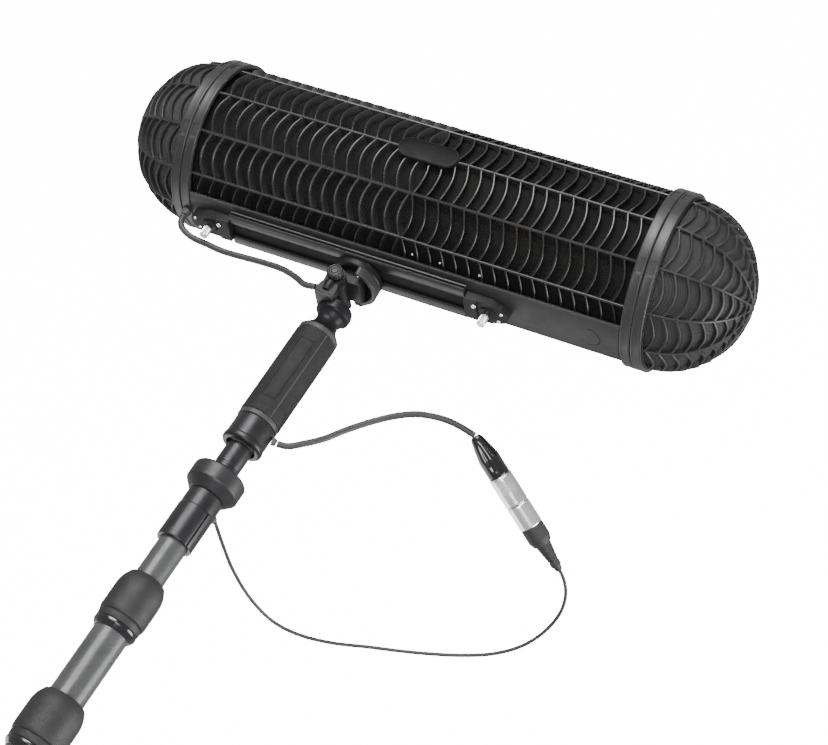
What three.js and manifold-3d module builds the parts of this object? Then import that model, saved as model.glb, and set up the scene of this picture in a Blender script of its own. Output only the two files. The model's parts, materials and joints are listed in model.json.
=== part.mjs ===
// Telescopic boom pole carrying a microphone in a blimp windshield.
//
// Millimetres, +Z up. The origin is the middle of the foam hand grip, on the pole's axis.
// +Y runs along the pole towards the microphone. The windshield lies across the pole's end:
// its own frame has +X along the blimp, towards the front dome, and -Y towards the pole.

import * as THREE from 'three';
import { mergeVertices } from 'three/addons/utils/BufferGeometryUtils.js';
import Module from 'manifold-3d';

const wasm = await Module();
wasm.setup();

// ---------------------------------------------------------------- driving dimensions

const GAP = 0.3;              // clearance between pieces that seat on each other
const RUNNING = 0.3;          // radial clearance of a tube or nut that slides

// Pole: three tubes, each sliding in the one behind it
const TUBE_LENGTH = 740;
const TUBE_WALL = 1.6;
const BASE_TUBE_R = 16.1;
const MIDDLE_TUBE_R = 13.85;
const TOP_TUBE_R = 11.45;
const BASE_TUBE_START = -165; // rear end of the base tube
const COLLAR_LENGTH = 42;     // twist collar without its end ring
const COLLAR_RING_LENGTH = 6;
const COLLAR_WALL = 4.8;      // twist collar, outside the tube it locks
const COLLAR_OVERLAP = 17;    // how far a collar reaches back over its own tube
const COLLAR_LIP = 8;         // front lip that closes on the inner tube
const MIDDLE_SHOWING = 58;    // length of each inner tube left out of its collar
const TOP_SHOWING = 34.5;

const FOAM_LENGTH = 260;
const FOAM_WALL = 3.2;
const END_CAP_LENGTH = 38;
const END_CAP_WALL = 2.4;
const SOCKET_R = 12.7;        // cable socket in the end cap
const SOCKET_WALL = 3;
const SOCKET_DEPTH = 16;
const PIN_R = 1.2;
const PIN_LENGTH = 9.5;
const PIN_CIRCLE_R = 4.4;

// Pole tip: sleeve, lock disk, stud
const SLEEVE_R = 14.65;
const SLEEVE_LENGTH = 44.5;
const DISK_R = 21.7;
const DISK_THICKNESS = 21.5;
const STUD_R = 8;
const STUD_NECK_R = 10.45;
const STUD_NECK_LENGTH = 27;

// Handle
const HANDLE_CAP_R = 17;
const HANDLE_CAP_LENGTH = 23;
const CORE_R = 12;
const GRIP_R = 17.4;
const GRIP_LENGTH = 94;
const BAND_WIDTH = 4;
const NECK_R = 9.5;
const NECK_LENGTH = 20;       // from the grip to the fork's flange
const FLANGE_R = 14.5;
const FLANGE_LENGTH = 10;

// Tilting head
const HINGE_OFFSET = -8;      // hinge axis beside the pole's axis, along X
const HINGE_RISE = 15;        // hinge axis ahead of the fork's flange
const EAR_R = 8;
const EAR_THICKNESS = 8;
const TONGUE_WIDTH = 23.4;
const BOLT_R = 3;
const BOLT_HEAD_R = 6.5;
const BOLT_HEAD_LENGTH = 6;
const SHOE_R = 21.5;
const SHOE_THICKNESS = 8;
const SHOE_RISE = 14;         // shoe's plate ahead of the hinge axis
const HOOD_WALL = 4;
const HOOD_DEPTH = 15;
const HEAD_YAW = THREE.MathUtils.degToRad(3.4);

// Windshield
const CAGE_R = 70;
const CAGE_HALF_LENGTH = 188.7;
const RIB_COUNT = 12;
const CAGE_SIDES = 24;        // facets of the round cage and all that fits round it
const RIB_WIDTH = 3;
const RIB_DEPTH = 3.4;
const HOOP_WIDTH = 3;
const HOOP_DEPTH = 4;
const HOOP_PITCH = 55.5;
const HOOPS_PER_HALF = 3;     // whole hoops between a half's seam and its end
const END_WALL = 3.2;         // end collars and lock rings, outside the cage
const COLLAR_STRIP = 8.7;     // each end has a fixed strip and a turning strip
const DOME_DEPTH = 64.3;
const DOME_WALL = 2.6;
const PANEL_WALL = 2.7;
const PANEL_HALF_ANGLE = THREE.MathUtils.degToRad(17);
const BADGE_LENGTH = 51;
const BADGE_HEIGHT = 19.5;
const BADGE_WALL = 2.3;
const CENTRE_AHEAD = 37.4;    // blimp's middle ahead of the hinge, along the blimp
const SHOE_CLEARANCE = 1.5;   // rail's underside above the shoe's plate

// Rail under the windshield
const RAIL_CENTRE = -43;
const RAIL_HALF_LENGTH = 105;
const RAIL_HALF_WIDTH = 18;
const RAIL_THICKNESS = 5.7;
const SLOT_HALF_WIDTH = 7.5;
const UNDERCUT_HALF_WIDTH = 11;
const LIP_THICKNESS = 2.5;
const RAIL_WEB = 1.2;
const RAIL_NUT_HALF = 12;
const BLOCK_LENGTH = 28;
const BLOCK_NOSE_R = 9;       // rounded outer end of a rail block
const BLOCK_HALF_WIDTH = 12;
const BLOCK_DROP = 2.5;       // block's underside below the rail's
const THUMB_SCREW_R = 3.6;
const THUMB_SCREW_LENGTH = 9;

// Suspension and microphone
const INNER_RAIL_HALF_LENGTH = 165;
const INNER_RAIL_HALF_WIDTH = 9;
const INNER_RAIL_THICKNESS = 4;
const INNER_RAIL_LIFT = 1.2;  // inner rail off the hoops' inside
const SUSPENSION_AT = 75;
const SUSPENSION_R = 48;
const SUSPENSION_RIM = 4;
const SUSPENSION_WIDTH = 7;
const BAND_R = 1.6;
const MIC_R = 10.5;
const MIC_FROM = -140;
const MIC_TO = 152;

// Cable plugs, measured along the plug's own axis
const PLUG_R = 9.4;
const BOOT_LENGTH = 35.6;
const SOCKET_SHELL_LENGTH = 26.4;
const PLUG_SHELL_LENGTH = 21;
const LATCH_TRAVEL = 1;
const THICK_LEAD_R = 2.6;
const THIN_LEAD_R = 1.5;
const MIC_LEAD_R = 2.7;
const GROMMET_R = 3.7;
const GROMMET_LENGTH = 3;
const CORD_STEP = 3;          // cord diameters between its sections
const RELIEF_LENGTH = 10;     // strain relief of the microphone lead on the hinge
const RELIEF_TURN = THREE.MathUtils.degToRad(190);

// ---------------------------------------------------------------- places that follow from them

const baseTubeEnd = BASE_TUBE_START + TUBE_LENGTH;
const baseCollarStart = baseTubeEnd - COLLAR_OVERLAP;
const baseCollarEnd = baseCollarStart + COLLAR_LENGTH;
const middleCollarStart = baseCollarEnd + MIDDLE_SHOWING + COLLAR_RING_LENGTH + GAP;
const middleTubeEnd = middleCollarStart + COLLAR_OVERLAP;
const middleCollarEnd = middleCollarStart + COLLAR_LENGTH;
const sleeveStart = middleCollarEnd + TOP_SHOWING;
const topTubeEnd = sleeveStart + SLEEVE_LENGTH;
const diskStart = topTubeEnd + GAP;
const studNeckStart = diskStart + DISK_THICKNESS + GAP;
const handleStart = studNeckStart + STUD_NECK_LENGTH;
const gripStart = handleStart + HANDLE_CAP_LENGTH + GAP;
const gripEnd = gripStart + GRIP_LENGTH;
const flangeStart = gripEnd + NECK_LENGTH;
const flangeEnd = flangeStart + FLANGE_LENGTH;
const hingeY = flangeEnd + HINGE_RISE;
const cageEnd = CAGE_HALF_LENGTH + COLLAR_STRIP;
const lockRingEnd = cageEnd + GAP + COLLAR_STRIP;
const collarR = CAGE_R + GAP + END_WALL;
const panelR = CAGE_R + GAP + PANEL_WALL;
const railTop = -(panelR + GAP);
const railBottom = railTop - RAIL_THICKNESS;
// Blimp's axis above the hinge
const blimpRise = SHOE_RISE + SHOE_THICKNESS + SHOE_CLEARANCE - railBottom;
const blockBottom = railBottom - BLOCK_DROP;
const hoopRadiusIn = CAGE_R - HOOP_DEPTH;
const innerRailTop = INNER_RAIL_THICKNESS + INNER_RAIL_LIFT - hoopRadiusIn;

// ---------------------------------------------------------------- materials

const finish = (color, roughness, metalness = 0) =>
  () => new THREE.MeshStandardMaterial({ color, roughness, metalness });
const carbon = finish(0x4a4b4d, 0.42, 0.1);
const satinBlack = finish(0x1b1c1d, 0.45);
const glossBlack = finish(0x111112, 0.2);
const rubber = finish(0x2a2b2d, 0.8);
const foam = finish(0x232325, 0.95);
const cagePlastic = finish(0x222326, 0.4);
const darkMetal = finish(0x2c2d30, 0.35, 0.8);
const nickel = finish(0xc9c9c7, 0.25, 1);
const redElastic = finish(0x6d1f1c, 0.7);
const jacket = finish(0x2b2b2d, 0.6);

// ---------------------------------------------------------------- geometry helpers

/** Weld shared vertices, drop degenerate triangles and make the faces point out. */
function weld(source) {
  const bare = source.clone();
  bare.deleteAttribute('normal');
  bare.deleteAttribute('uv');
  const merged = mergeVertices(bare, 1e-3);
  const kept = [];
  for (let i = 0; i < merged.index.count; i += 3) {
    const [a, b, c] = [0, 1, 2].map((k) => merged.index.getX(i + k));
    if (a !== b && b !== c && c !== a) kept.push(a, b, c);
  }
  const at = (i) => new THREE.Vector3().fromBufferAttribute(merged.attributes.position, i);
  let volume = 0;
  for (let i = 0; i < kept.length; i += 3) {
    volume += at(kept[i]).dot(at(kept[i + 1]).cross(at(kept[i + 2])));
  }
  merged.setIndex(volume < 0 ? kept.reverse() : kept);
  return merged;
}

/** Geometry to a manifold-3d solid, for joining and cutting. */
function solid(geometry) {
  const welded = weld(geometry);
  return new wasm.Manifold(new wasm.Mesh({
    numProp: 3,
    vertProperties: new Float32Array(welded.attributes.position.array),
    triVerts: new Uint32Array(welded.index.array),
  }));
}

/** manifold-3d solid back to a geometry. */
function shape(manifold) {
  const { vertProperties, triVerts } = manifold.getMesh();
  const geometry = new THREE.BufferGeometry();
  geometry.setAttribute('position', new THREE.BufferAttribute(vertProperties, 3));
  geometry.setIndex(new THREE.BufferAttribute(triVerts, 1));
  return geometry;
}

const join = (...pieces) => shape(pieces.map(solid).reduce((sum, piece) => sum.add(piece)));
const cut = (body, ...tools) =>
  shape(tools.map(solid).reduce((rest, tool) => rest.subtract(tool), solid(body)));

/** A solid turned about Y from a [radius, station] outline, closed if it leaves the axis. */
function turned(outline, segments = 20) {
  const points = outline.map(([radius, station]) => new THREE.Vector2(radius, station));
  if (outline[0][0] > 0) points.push(points[0].clone());
  return new THREE.LatheGeometry(points, segments);
}

const tube = (inner, outer, from, to, segments) =>
  turned([[inner, from], [outer, from], [outer, to], [inner, to]], segments);
const rod = (radius, from, to, segments) =>
  turned([[0, from], [radius, from], [radius, to], [0, to]], segments);

/** Turn a Y-axis geometry to lie along the blimp's X axis. */
const alongX = (geometry) => geometry.rotateZ(-Math.PI / 2);
/** Turn a Y-axis geometry to stand along Z. */
const alongZ = (geometry) => geometry.rotateX(Math.PI / 2);

function block([x0, x1], [y0, y1], [z0, z1]) {
  return new THREE.BoxGeometry(x1 - x0, y1 - y0, z1 - z0)
    .translate((x0 + x1) / 2, (y0 + y1) / 2, (z0 + z1) / 2);
}

/** A curved strip about the X axis, centred on the direction `middle` away from -Y. */
function curvedStrip(inner, outer, halfAngle, from, to, middle = 0, segments = 8) {
  const outline = new THREE.Shape();
  outline.absarc(0, 0, outer, -halfAngle, halfAngle, false);
  outline.absarc(0, 0, inner, halfAngle, -halfAngle, true);
  const strip = new THREE.ExtrudeGeometry(outline, {
    depth: to - from,
    bevelEnabled: false,
    curveSegments: segments,
  });
  strip.rotateY(Math.PI / 2).translate(from, 0, 0);
  return strip.rotateX(-Math.PI / 2 - middle);
}

/** A round cord along hand-chosen points, with flat ends. */
function cord(points, radius, sides = 8) {
  const route = points.map((point) => new THREE.Vector3(...point));
  const path = new THREE.CatmullRomCurve3(route, false, 'centripetal');
  const outline = new THREE.Shape(Array.from({ length: sides }, (_, i) => {
    const turn = (2 * Math.PI * i) / sides;
    return new THREE.Vector2(radius * Math.cos(turn), radius * Math.sin(turn));
  }));
  const steps = Math.round(path.getLength() / (CORD_STEP * 2 * radius));
  return new THREE.ExtrudeGeometry(outline, { steps, extrudePath: path, bevelEnabled: false });
}

/** Add a named piece to a group. */
function piece(group, name, geometry, material) {
  const mesh = new THREE.Mesh(weld(geometry), material());
  mesh.name = name;
  group.add(mesh);
  return mesh;
}

// ---------------------------------------------------------------- pole

const model = new THREE.Group();
model.name = 'boom_pole';

/** Tube of the pole that ends at `end`. */
function poleTube(name, radius, end) {
  piece(model, name, tube(radius - TUBE_WALL, radius, end - TUBE_LENGTH, end), carbon);
}

/** Twist collar on the front of one tube, closing a slotted collet on the next. */
function twistCollar(suffix, start, outerTubeR, innerTubeR) {
  const end = start + COLLAR_LENGTH;
  const outside = outerTubeR + COLLAR_WALL;
  const seat = outerTubeR + GAP;
  const mouth = innerTubeR + RUNNING;
  const shoulder = start + COLLAR_LENGTH - COLLAR_LIP;
  piece(model, `lock_collar_${suffix}`, turned([
    [seat, start], [outside - 1, start], [outside, start + 2], [outside, end - 9],
    [outside - 2, end], [mouth, end], [mouth, shoulder], [seat, shoulder],
  ]), rubber);
  const tubeEnd = start + COLLAR_OVERLAP;
  piece(model, `collet_${suffix}`,
    tube(mouth - 0.1, seat - GAP, tubeEnd + GAP, shoulder - GAP), glossBlack);
  piece(model, `collar_ring_${suffix}`,
    tube(seat, outside - 1.4, start - GAP - COLLAR_RING_LENGTH, start - GAP), glossBlack);
}

function basePieces() {
  poleTube('base_tube', BASE_TUBE_R, baseTubeEnd);
  const foamIn = BASE_TUBE_R + GAP;
  const foamOut = BASE_TUBE_R + FOAM_WALL;
  const half = FOAM_LENGTH / 2;
  piece(model, 'foam_grip', turned([
    [foamIn, -half], [foamOut - 1.5, -half], [foamOut, -half + 4],
    [foamOut, half - 4], [foamOut - 1.5, half], [foamIn, half],
  ]), foam);

  const capEnd = BASE_TUBE_START + 0.4 * END_CAP_LENGTH;
  const capStart = capEnd - END_CAP_LENGTH;
  const capR = BASE_TUBE_R + END_CAP_WALL;
  const socketBore = SOCKET_R + GAP;
  piece(model, 'end_cap', turned([
    [socketBore, capStart], [capR - 2, capStart], [capR, capStart + 2], [capR, capEnd],
    [foamIn, capEnd], [foamIn, BASE_TUBE_START - GAP], [socketBore, BASE_TUBE_START - GAP],
  ]), satinBlack);

  const socketFloor = capStart + SOCKET_DEPTH;
  const cup = turned([
    [0, socketFloor], [SOCKET_R - SOCKET_WALL, socketFloor], [SOCKET_R - SOCKET_WALL, capStart + 0.5],
    [SOCKET_R, capStart + 0.5], [SOCKET_R, socketFloor + 5], [0, socketFloor + 5],
  ]);
  const pins = Array.from({ length: 3 }, (_, i) => {
    const turn = Math.PI / 2 + (i - 1) * (2 * Math.PI / 3);
    return rod(PIN_R, socketFloor - PIN_LENGTH, socketFloor + 1, 10)
      .translate(PIN_CIRCLE_R * Math.cos(turn), 0, PIN_CIRCLE_R * Math.sin(turn));
  });
  piece(model, 'cable_socket', join(cup, ...pins), glossBlack);
}

function tipPieces() {
  piece(model, 'tip_sleeve', turned([
    [TOP_TUBE_R + GAP, sleeveStart], [SLEEVE_R - 0.6, sleeveStart], [SLEEVE_R, sleeveStart + 1],
    [SLEEVE_R, topTubeEnd], [TOP_TUBE_R + GAP, topTubeEnd],
  ]), glossBlack);
  const bore = STUD_R + RUNNING;
  const diskEnd = diskStart + DISK_THICKNESS;
  piece(model, 'lock_disk', turned([
    [bore, diskStart], [DISK_R - 7, diskStart], [DISK_R, diskStart + 6], [DISK_R, diskEnd - 1],
    [DISK_R - 1, diskEnd], [bore, diskEnd],
  ], 24), satinBlack);
  piece(model, 'tip_stud', turned([
    [0, diskStart], [STUD_R, diskStart], [STUD_R, studNeckStart], [STUD_NECK_R, studNeckStart],
    [STUD_NECK_R, handleStart - GAP], [0, handleStart - GAP],
  ]), glossBlack);
}

// ---------------------------------------------------------------- handle and fork

function handlePieces() {
  const capEnd = handleStart + HANDLE_CAP_LENGTH;
  piece(model, 'handle_cap', turned([
    [0, handleStart], [HANDLE_CAP_R - 2.5, handleStart], [HANDLE_CAP_R, handleStart + 3],
    [HANDLE_CAP_R, capEnd], [0, capEnd],
  ]), satinBlack);
  const bore = CORE_R + GAP;
  piece(model, 'grip_band_rear', tube(bore, GRIP_R - 0.3, gripStart, gripStart + BAND_WIDTH), satinBlack);
  piece(model, 'grip_band_front', tube(bore, GRIP_R - 0.3, gripEnd - BAND_WIDTH, gripEnd), satinBlack);
  const rubberStart = gripStart + BAND_WIDTH + GAP;
  const rubberEnd = gripEnd - BAND_WIDTH - GAP;
  piece(model, 'grip_rubber', turned([
    [bore, rubberStart], [GRIP_R - 0.6, rubberStart], [GRIP_R, rubberStart + 2],
    [GRIP_R, rubberEnd - 2], [GRIP_R - 0.6, rubberEnd], [bore, rubberEnd],
  ]), rubber);

  const core = turned([
    [0, gripStart], [CORE_R, gripStart], [CORE_R, gripEnd + GAP], [NECK_R + 4, gripEnd + 2],
    [NECK_R, gripEnd + 7], [NECK_R, flangeStart - 6], [FLANGE_R, flangeStart],
    [FLANGE_R, flangeEnd - 2], [FLANGE_R - 2, flangeEnd], [0, flangeEnd],
  ]);
  const earInside = TONGUE_WIDTH / 2 + RUNNING;
  const earOutside = earInside + EAR_THICKNESS;
  const bolt = alongZ(rod(BOLT_R + RUNNING, -earOutside - 1, earOutside + 1))
    .translate(HINGE_OFFSET, hingeY, 0);
  const ears = [-1, 1].map((side) => {
    const span = side > 0 ? [earInside, earOutside] : [-earOutside, -earInside];
    const arm = block([HINGE_OFFSET - EAR_R + 1, HINGE_OFFSET + EAR_R - 1], [flangeEnd - 4, hingeY], span);
    const eye = alongZ(rod(EAR_R, span[0], span[1])).translate(HINGE_OFFSET, hingeY, 0);
    return join(arm, eye);
  });
  const root = block([HINGE_OFFSET - EAR_R + 1, HINGE_OFFSET + EAR_R - 1], [flangeEnd - 6, flangeEnd],
    [-earOutside, earOutside]);
  piece(model, 'handle_core', cut(join(core, root, ...ears), bolt), darkMetal);

  const pin = alongZ(rod(BOLT_R, -earOutside - GAP - 1, earOutside + GAP))
    .translate(HINGE_OFFSET, hingeY, 0);
  const nut = alongZ(rod(EAR_R - 2.5, -earOutside - GAP - 4, -earOutside - GAP, 6))
    .translate(HINGE_OFFSET, hingeY, 0);
  piece(model, 'hinge_bolt', join(pin, nut), nickel);
  const headFrom = earOutside + 2 * GAP;
  const head = turned([
    [0, headFrom], [BOLT_HEAD_R, headFrom], [BOLT_HEAD_R, headFrom + BOLT_HEAD_LENGTH - 2],
    [BOLT_HEAD_R - 2, headFrom + BOLT_HEAD_LENGTH], [0, headFrom + BOLT_HEAD_LENGTH],
  ], 16);
  piece(model, 'tilt_knob', alongZ(head).translate(HINGE_OFFSET, hingeY, 0), satinBlack);
}

// ---------------------------------------------------------------- tilting head (hinge axis at its origin)

const head = new THREE.Group();
head.position.set(HINGE_OFFSET, hingeY, 0);
head.rotation.z = HEAD_YAW;
model.add(head);

function shoePieces() {
  const half = TONGUE_WIDTH / 2;
  const shoeTop = SHOE_RISE + SHOE_THICKNESS;
  const centre = -HINGE_OFFSET;
  const knuckle = alongZ(rod(EAR_R, -half, half));
  const tongue = block([-EAR_R + 1, centre + 10], [2, SHOE_RISE + 2], [-half, half]);
  const plate = turned([
    [0, SHOE_RISE], [SHOE_R - 1, SHOE_RISE], [SHOE_R, SHOE_RISE + 1], [SHOE_R, shoeTop - 1],
    [SHOE_R - 1, shoeTop], [0, shoeTop],
  ], 28).translate(centre, 0, 0);
  const hoodRing = tube(SHOE_R - HOOD_WALL, SHOE_R, SHOE_RISE - HOOD_DEPTH + 2, SHOE_RISE + 1, 28)
    .translate(centre, 0, 0);
  const hoodCut = block([-2 * SHOE_R, centre + 7], [-2 * SHOE_R, SHOE_RISE], [-2 * SHOE_R, 2 * SHOE_R]);
  const bolt = alongZ(rod(BOLT_R + RUNNING, -half - 1, half + 1));
  piece(head, 'shoe', cut(join(knuckle, tongue, plate, cut(hoodRing, hoodCut)), bolt), satinBlack);

  const railUnder = blimpRise + railBottom;
  const neckHalf = SLOT_HALF_WIDTH - 0.4;
  const flangeHalf = UNDERCUT_HALF_WIDTH - 0.4;
  const undercut = railUnder + LIP_THICKNESS;
  const slotTop = blimpRise + railTop - RAIL_WEB;
  piece(head, 'rail_nut', join(
    block([-RAIL_NUT_HALF, RAIL_NUT_HALF], [shoeTop + GAP, undercut + 1], [-neckHalf, neckHalf]),
    block([-RAIL_NUT_HALF, RAIL_NUT_HALF], [undercut + GAP, slotTop - GAP], [-flangeHalf, flangeHalf]),
  ), darkMetal);

  const clampFrom = -SHOE_R - GAP;
  const clamp = turned([
    [0, clampFrom], [5.5, clampFrom], [7, clampFrom - 2], [7, clampFrom - 8], [5.5, clampFrom - 10],
    [0, clampFrom - 10],
  ], 16);
  piece(head, 'clamp_knob', alongZ(clamp)
    .translate(centre, SHOE_RISE + SHOE_THICKNESS / 2, 0), satinBlack);

  const reliefFrom = EAR_R + GAP;
  const reliefTo = reliefFrom + RELIEF_LENGTH;
  piece(head, 'lead_grommet', turned([
    [0, reliefFrom + 1], [GROMMET_R, reliefFrom + 1], [GROMMET_R, reliefFrom + 4],
    [GROMMET_R - 0.8, reliefTo], [0, reliefTo],
  ], 12).rotateZ(RELIEF_TURN - Math.PI / 2), rubber);
}

// ---------------------------------------------------------------- windshield (blimp axis at its origin)

const blimp = new THREE.Group();
blimp.position.set(CENTRE_AHEAD, blimpRise, 0);
head.add(blimp);

/** Moulded half of the cage: side is +1 at the front, -1 at the rear. The halves meet under the badge. */
function cageHalf(name, side) {
  const seam = GAP / 2;
  const stations = [seam + HOOP_WIDTH / 2, cageEnd - HOOP_WIDTH];
  for (let i = 1; i <= HOOPS_PER_HALF; i += 1) stations.push(i * HOOP_PITCH);
  const lattice = stations.map((station) => {
    const middle = side * station;
    return alongX(tube(hoopRadiusIn, CAGE_R, middle - HOOP_WIDTH / 2, middle + HOOP_WIDTH / 2, CAGE_SIDES));
  });
  const reach = [side * seam, side * cageEnd].sort((from, to) => from - to);
  for (let i = 0; i < RIB_COUNT; i += 1) {
    const rib = block(reach, [-CAGE_R + 0.2, -CAGE_R + RIB_DEPTH], [-RIB_WIDTH / 2, RIB_WIDTH / 2]);
    lattice.push(rib.rotateX((2 * Math.PI * i) / RIB_COUNT));
  }
  piece(blimp, name, join(...lattice), cagePlastic);
}

function cagePieces() {
  cageHalf('cage_rear', -1);
  cageHalf('cage_front', 1);

  piece(blimp, 'base_panel', curvedStrip(CAGE_R + GAP, panelR, PANEL_HALF_ANGLE,
    -CAGE_HALF_LENGTH + GAP, CAGE_HALF_LENGTH - GAP), satinBlack);

  // Stadium-shaped plate: a stadium prism cut to the thickness of a shell round the cage
  const shellHalfAngle = BADGE_HEIGHT / CAGE_R;
  const shellHalfLength = BADGE_LENGTH / 2 + 1;
  const badgeIn = CAGE_R + GAP;
  const badgeShell = curvedStrip(badgeIn, badgeIn + BADGE_WALL, shellHalfAngle,
    -shellHalfLength, shellHalfLength, Math.PI / 2);
  const prismTop = 1.1 * CAGE_R;
  const end = BADGE_LENGTH / 2 - BADGE_HEIGHT / 2;
  const bar = block([-end, end], [-BADGE_HEIGHT / 2, BADGE_HEIGHT / 2], [0, prismTop]);
  const caps = [-end, end].map((x) => alongZ(rod(BADGE_HEIGHT / 2, 0, prismTop, 20)).translate(x, 0, 0));
  piece(blimp, 'badge_plate', shape(solid(badgeShell).intersect(solid(join(bar, ...caps)))), glossBlack);
}

/** Collar strip, turning lock ring and dome at one end: side is +1 at the front, -1 at the rear. */
function endPieces(name, side) {
  const facing = (geometry) => (side > 0 ? geometry : geometry.rotateY(Math.PI));
  const bore = CAGE_R + GAP;
  const strip = (from, to) => facing(alongX(turned([
    [bore, from], [collarR - 0.8, from], [collarR, from + 0.8], [collarR, to - 0.8], [collarR - 0.8, to],
    [bore, to],
  ], CAGE_SIDES)));
  piece(blimp, `${name}_collar`, strip(CAGE_HALF_LENGTH, cageEnd), satinBlack);
  piece(blimp, `${name}_lock_ring`, strip(cageEnd + GAP, lockRingEnd), satinBlack);

  const skirt = cageEnd + GAP;
  const rim = [];
  const rings = 5;
  const outside = CAGE_R - GAP;
  for (let i = 0; i <= rings; i += 1) {
    const turn = (i / rings) * (Math.PI / 2);
    rim.push([outside * Math.cos(turn), lockRingEnd + DOME_DEPTH * Math.sin(turn)]);
  }
  rim[rings][0] = 0;
  const inside = rim.map(([radius, station]) => {
    const shrink = (outside - DOME_WALL) / outside;
    return [radius * shrink, lockRingEnd + (station - lockRingEnd) * (DOME_DEPTH - DOME_WALL) / DOME_DEPTH];
  }).reverse();
  const outline = [...inside, [outside - DOME_WALL, skirt], [outside, skirt], ...rim];
  piece(blimp, `${name}_dome`, facing(alongX(new THREE.LatheGeometry(
    outline.map(([radius, station]) => new THREE.Vector2(radius, station)), CAGE_SIDES))), cagePlastic);
}

function railPieces() {
  const from = RAIL_CENTRE - RAIL_HALF_LENGTH;
  const to = RAIL_CENTRE + RAIL_HALF_LENGTH;
  piece(blimp, 'rail', cut(
    block([from, to], [railBottom, railTop], [-RAIL_HALF_WIDTH, RAIL_HALF_WIDTH]),
    block([from - 1, to + 1], [railBottom - 1, railBottom + LIP_THICKNESS + 1],
      [-SLOT_HALF_WIDTH, SLOT_HALF_WIDTH]),
    block([from - 1, to + 1], [railBottom + LIP_THICKNESS, railTop - RAIL_WEB],
      [-UNDERCUT_HALF_WIDTH, UNDERCUT_HALF_WIDTH]),
  ), darkMetal);

  for (const [name, side] of [['rear', -1], ['front', 1]]) {
    const inner = RAIL_CENTRE + side * (RAIL_HALF_LENGTH + GAP);
    const outer = inner + side * BLOCK_LENGTH;
    const bar = block([Math.min(inner, outer), Math.max(inner, outer)], [blockBottom, railTop],
      [-BLOCK_HALF_WIDTH, BLOCK_HALF_WIDTH]);
    const nose = rod(BLOCK_NOSE_R, blockBottom + 1, railTop, 24).translate(outer, 0, 0);
    piece(blimp, `rail_block_${name}`, join(bar, nose), satinBlack);
    const screwAt = outer - side * 9;
    const top = blockBottom - GAP;
    piece(blimp, `thumb_screw_${name}`, turned([
      [0, top - THUMB_SCREW_LENGTH], [THUMB_SCREW_R - 0.8, top - THUMB_SCREW_LENGTH],
      [THUMB_SCREW_R, top - THUMB_SCREW_LENGTH + 0.8], [THUMB_SCREW_R, top - 2.4], [2.2, top - 2], [2.2, top],
      [0, top],
    ], 16).translate(screwAt, 0, 0), nickel);
    piece(blimp, `block_screw_${name}`, turned([
      [0, top - 1.6], [1.5, top - 1.5], [2.2, top - 0.7], [2.2, top], [0, top],
    ], 12).translate(outer - side * 13, 0, 8), nickel);
  }

  const glandX = -(CAGE_HALF_LENGTH + COLLAR_STRIP / 2);
  piece(blimp, 'cable_gland', turned([
    [0, -collarR - GAP - 4.5], [3.4, -collarR - GAP - 4.5], [4.2, -collarR - GAP], [0, -collarR - GAP],
  ], 12).translate(glandX, 0, 0), rubber);
}

function suspensionPieces() {
  const top = innerRailTop;
  piece(blimp, 'inner_rail', block([-INNER_RAIL_HALF_LENGTH, INNER_RAIL_HALF_LENGTH],
    [top - INNER_RAIL_THICKNESS, top], [-INNER_RAIL_HALF_WIDTH, INNER_RAIL_HALF_WIDTH]), darkMetal);
  for (const [name, side] of [['rear', -1], ['front', 1]]) {
    const at = side * SUSPENSION_AT;
    const [from, to] = [at - SUSPENSION_WIDTH / 2, at + SUSPENSION_WIDTH / 2];
    const rim = alongX(tube(SUSPENSION_R - SUSPENSION_RIM, SUSPENSION_R, from, to, 28));
    const foot = block([at - 9, at + 9], [top + GAP, -SUSPENSION_R + 2], [-7, 7]);
    piece(blimp, `suspension_ring_${name}`, join(rim, foot), satinBlack);
    const collarIn = MIC_R + GAP;
    const strands = [1, 3, 5, 7].map((k) => rod(BAND_R, collarIn + 1, SUSPENSION_R - SUSPENSION_RIM - GAP, 8)
      .rotateX((k * Math.PI) / 4).translate(at, 0, 0));
    const cuff = alongX(tube(collarIn, collarIn + 2, at - 5, at + 5, 20));
    piece(blimp, `elastic_band_${name}`, join(cuff, ...strands), redElastic);
  }
  piece(blimp, 'microphone', alongX(turned([
    [0, MIC_FROM], [MIC_R - 2, MIC_FROM], [MIC_R, MIC_FROM + 2], [MIC_R, MIC_TO - 3], [MIC_R - 3, MIC_TO],
    [0, MIC_TO],
  ], 20)), darkMetal);
}

// ---------------------------------------------------------------- leads and plugs

// Plug pair that joins the handle's lead to the pole's lead, hanging beside the handle
const PLUG_FROM = new THREE.Vector3(137, handleStart + 113.1, -49);
const PLUG_TO = new THREE.Vector3(226, handleStart + 75.1, -129);

// Where each lead leaves its grommet, and the way it points there
const HANDLE_EXIT = { y: handleStart + 18.1, down: THREE.MathUtils.degToRad(15) };
const TIP_EXIT = { y: topTubeEnd - 7.8, down: THREE.MathUtils.degToRad(58) };

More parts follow.
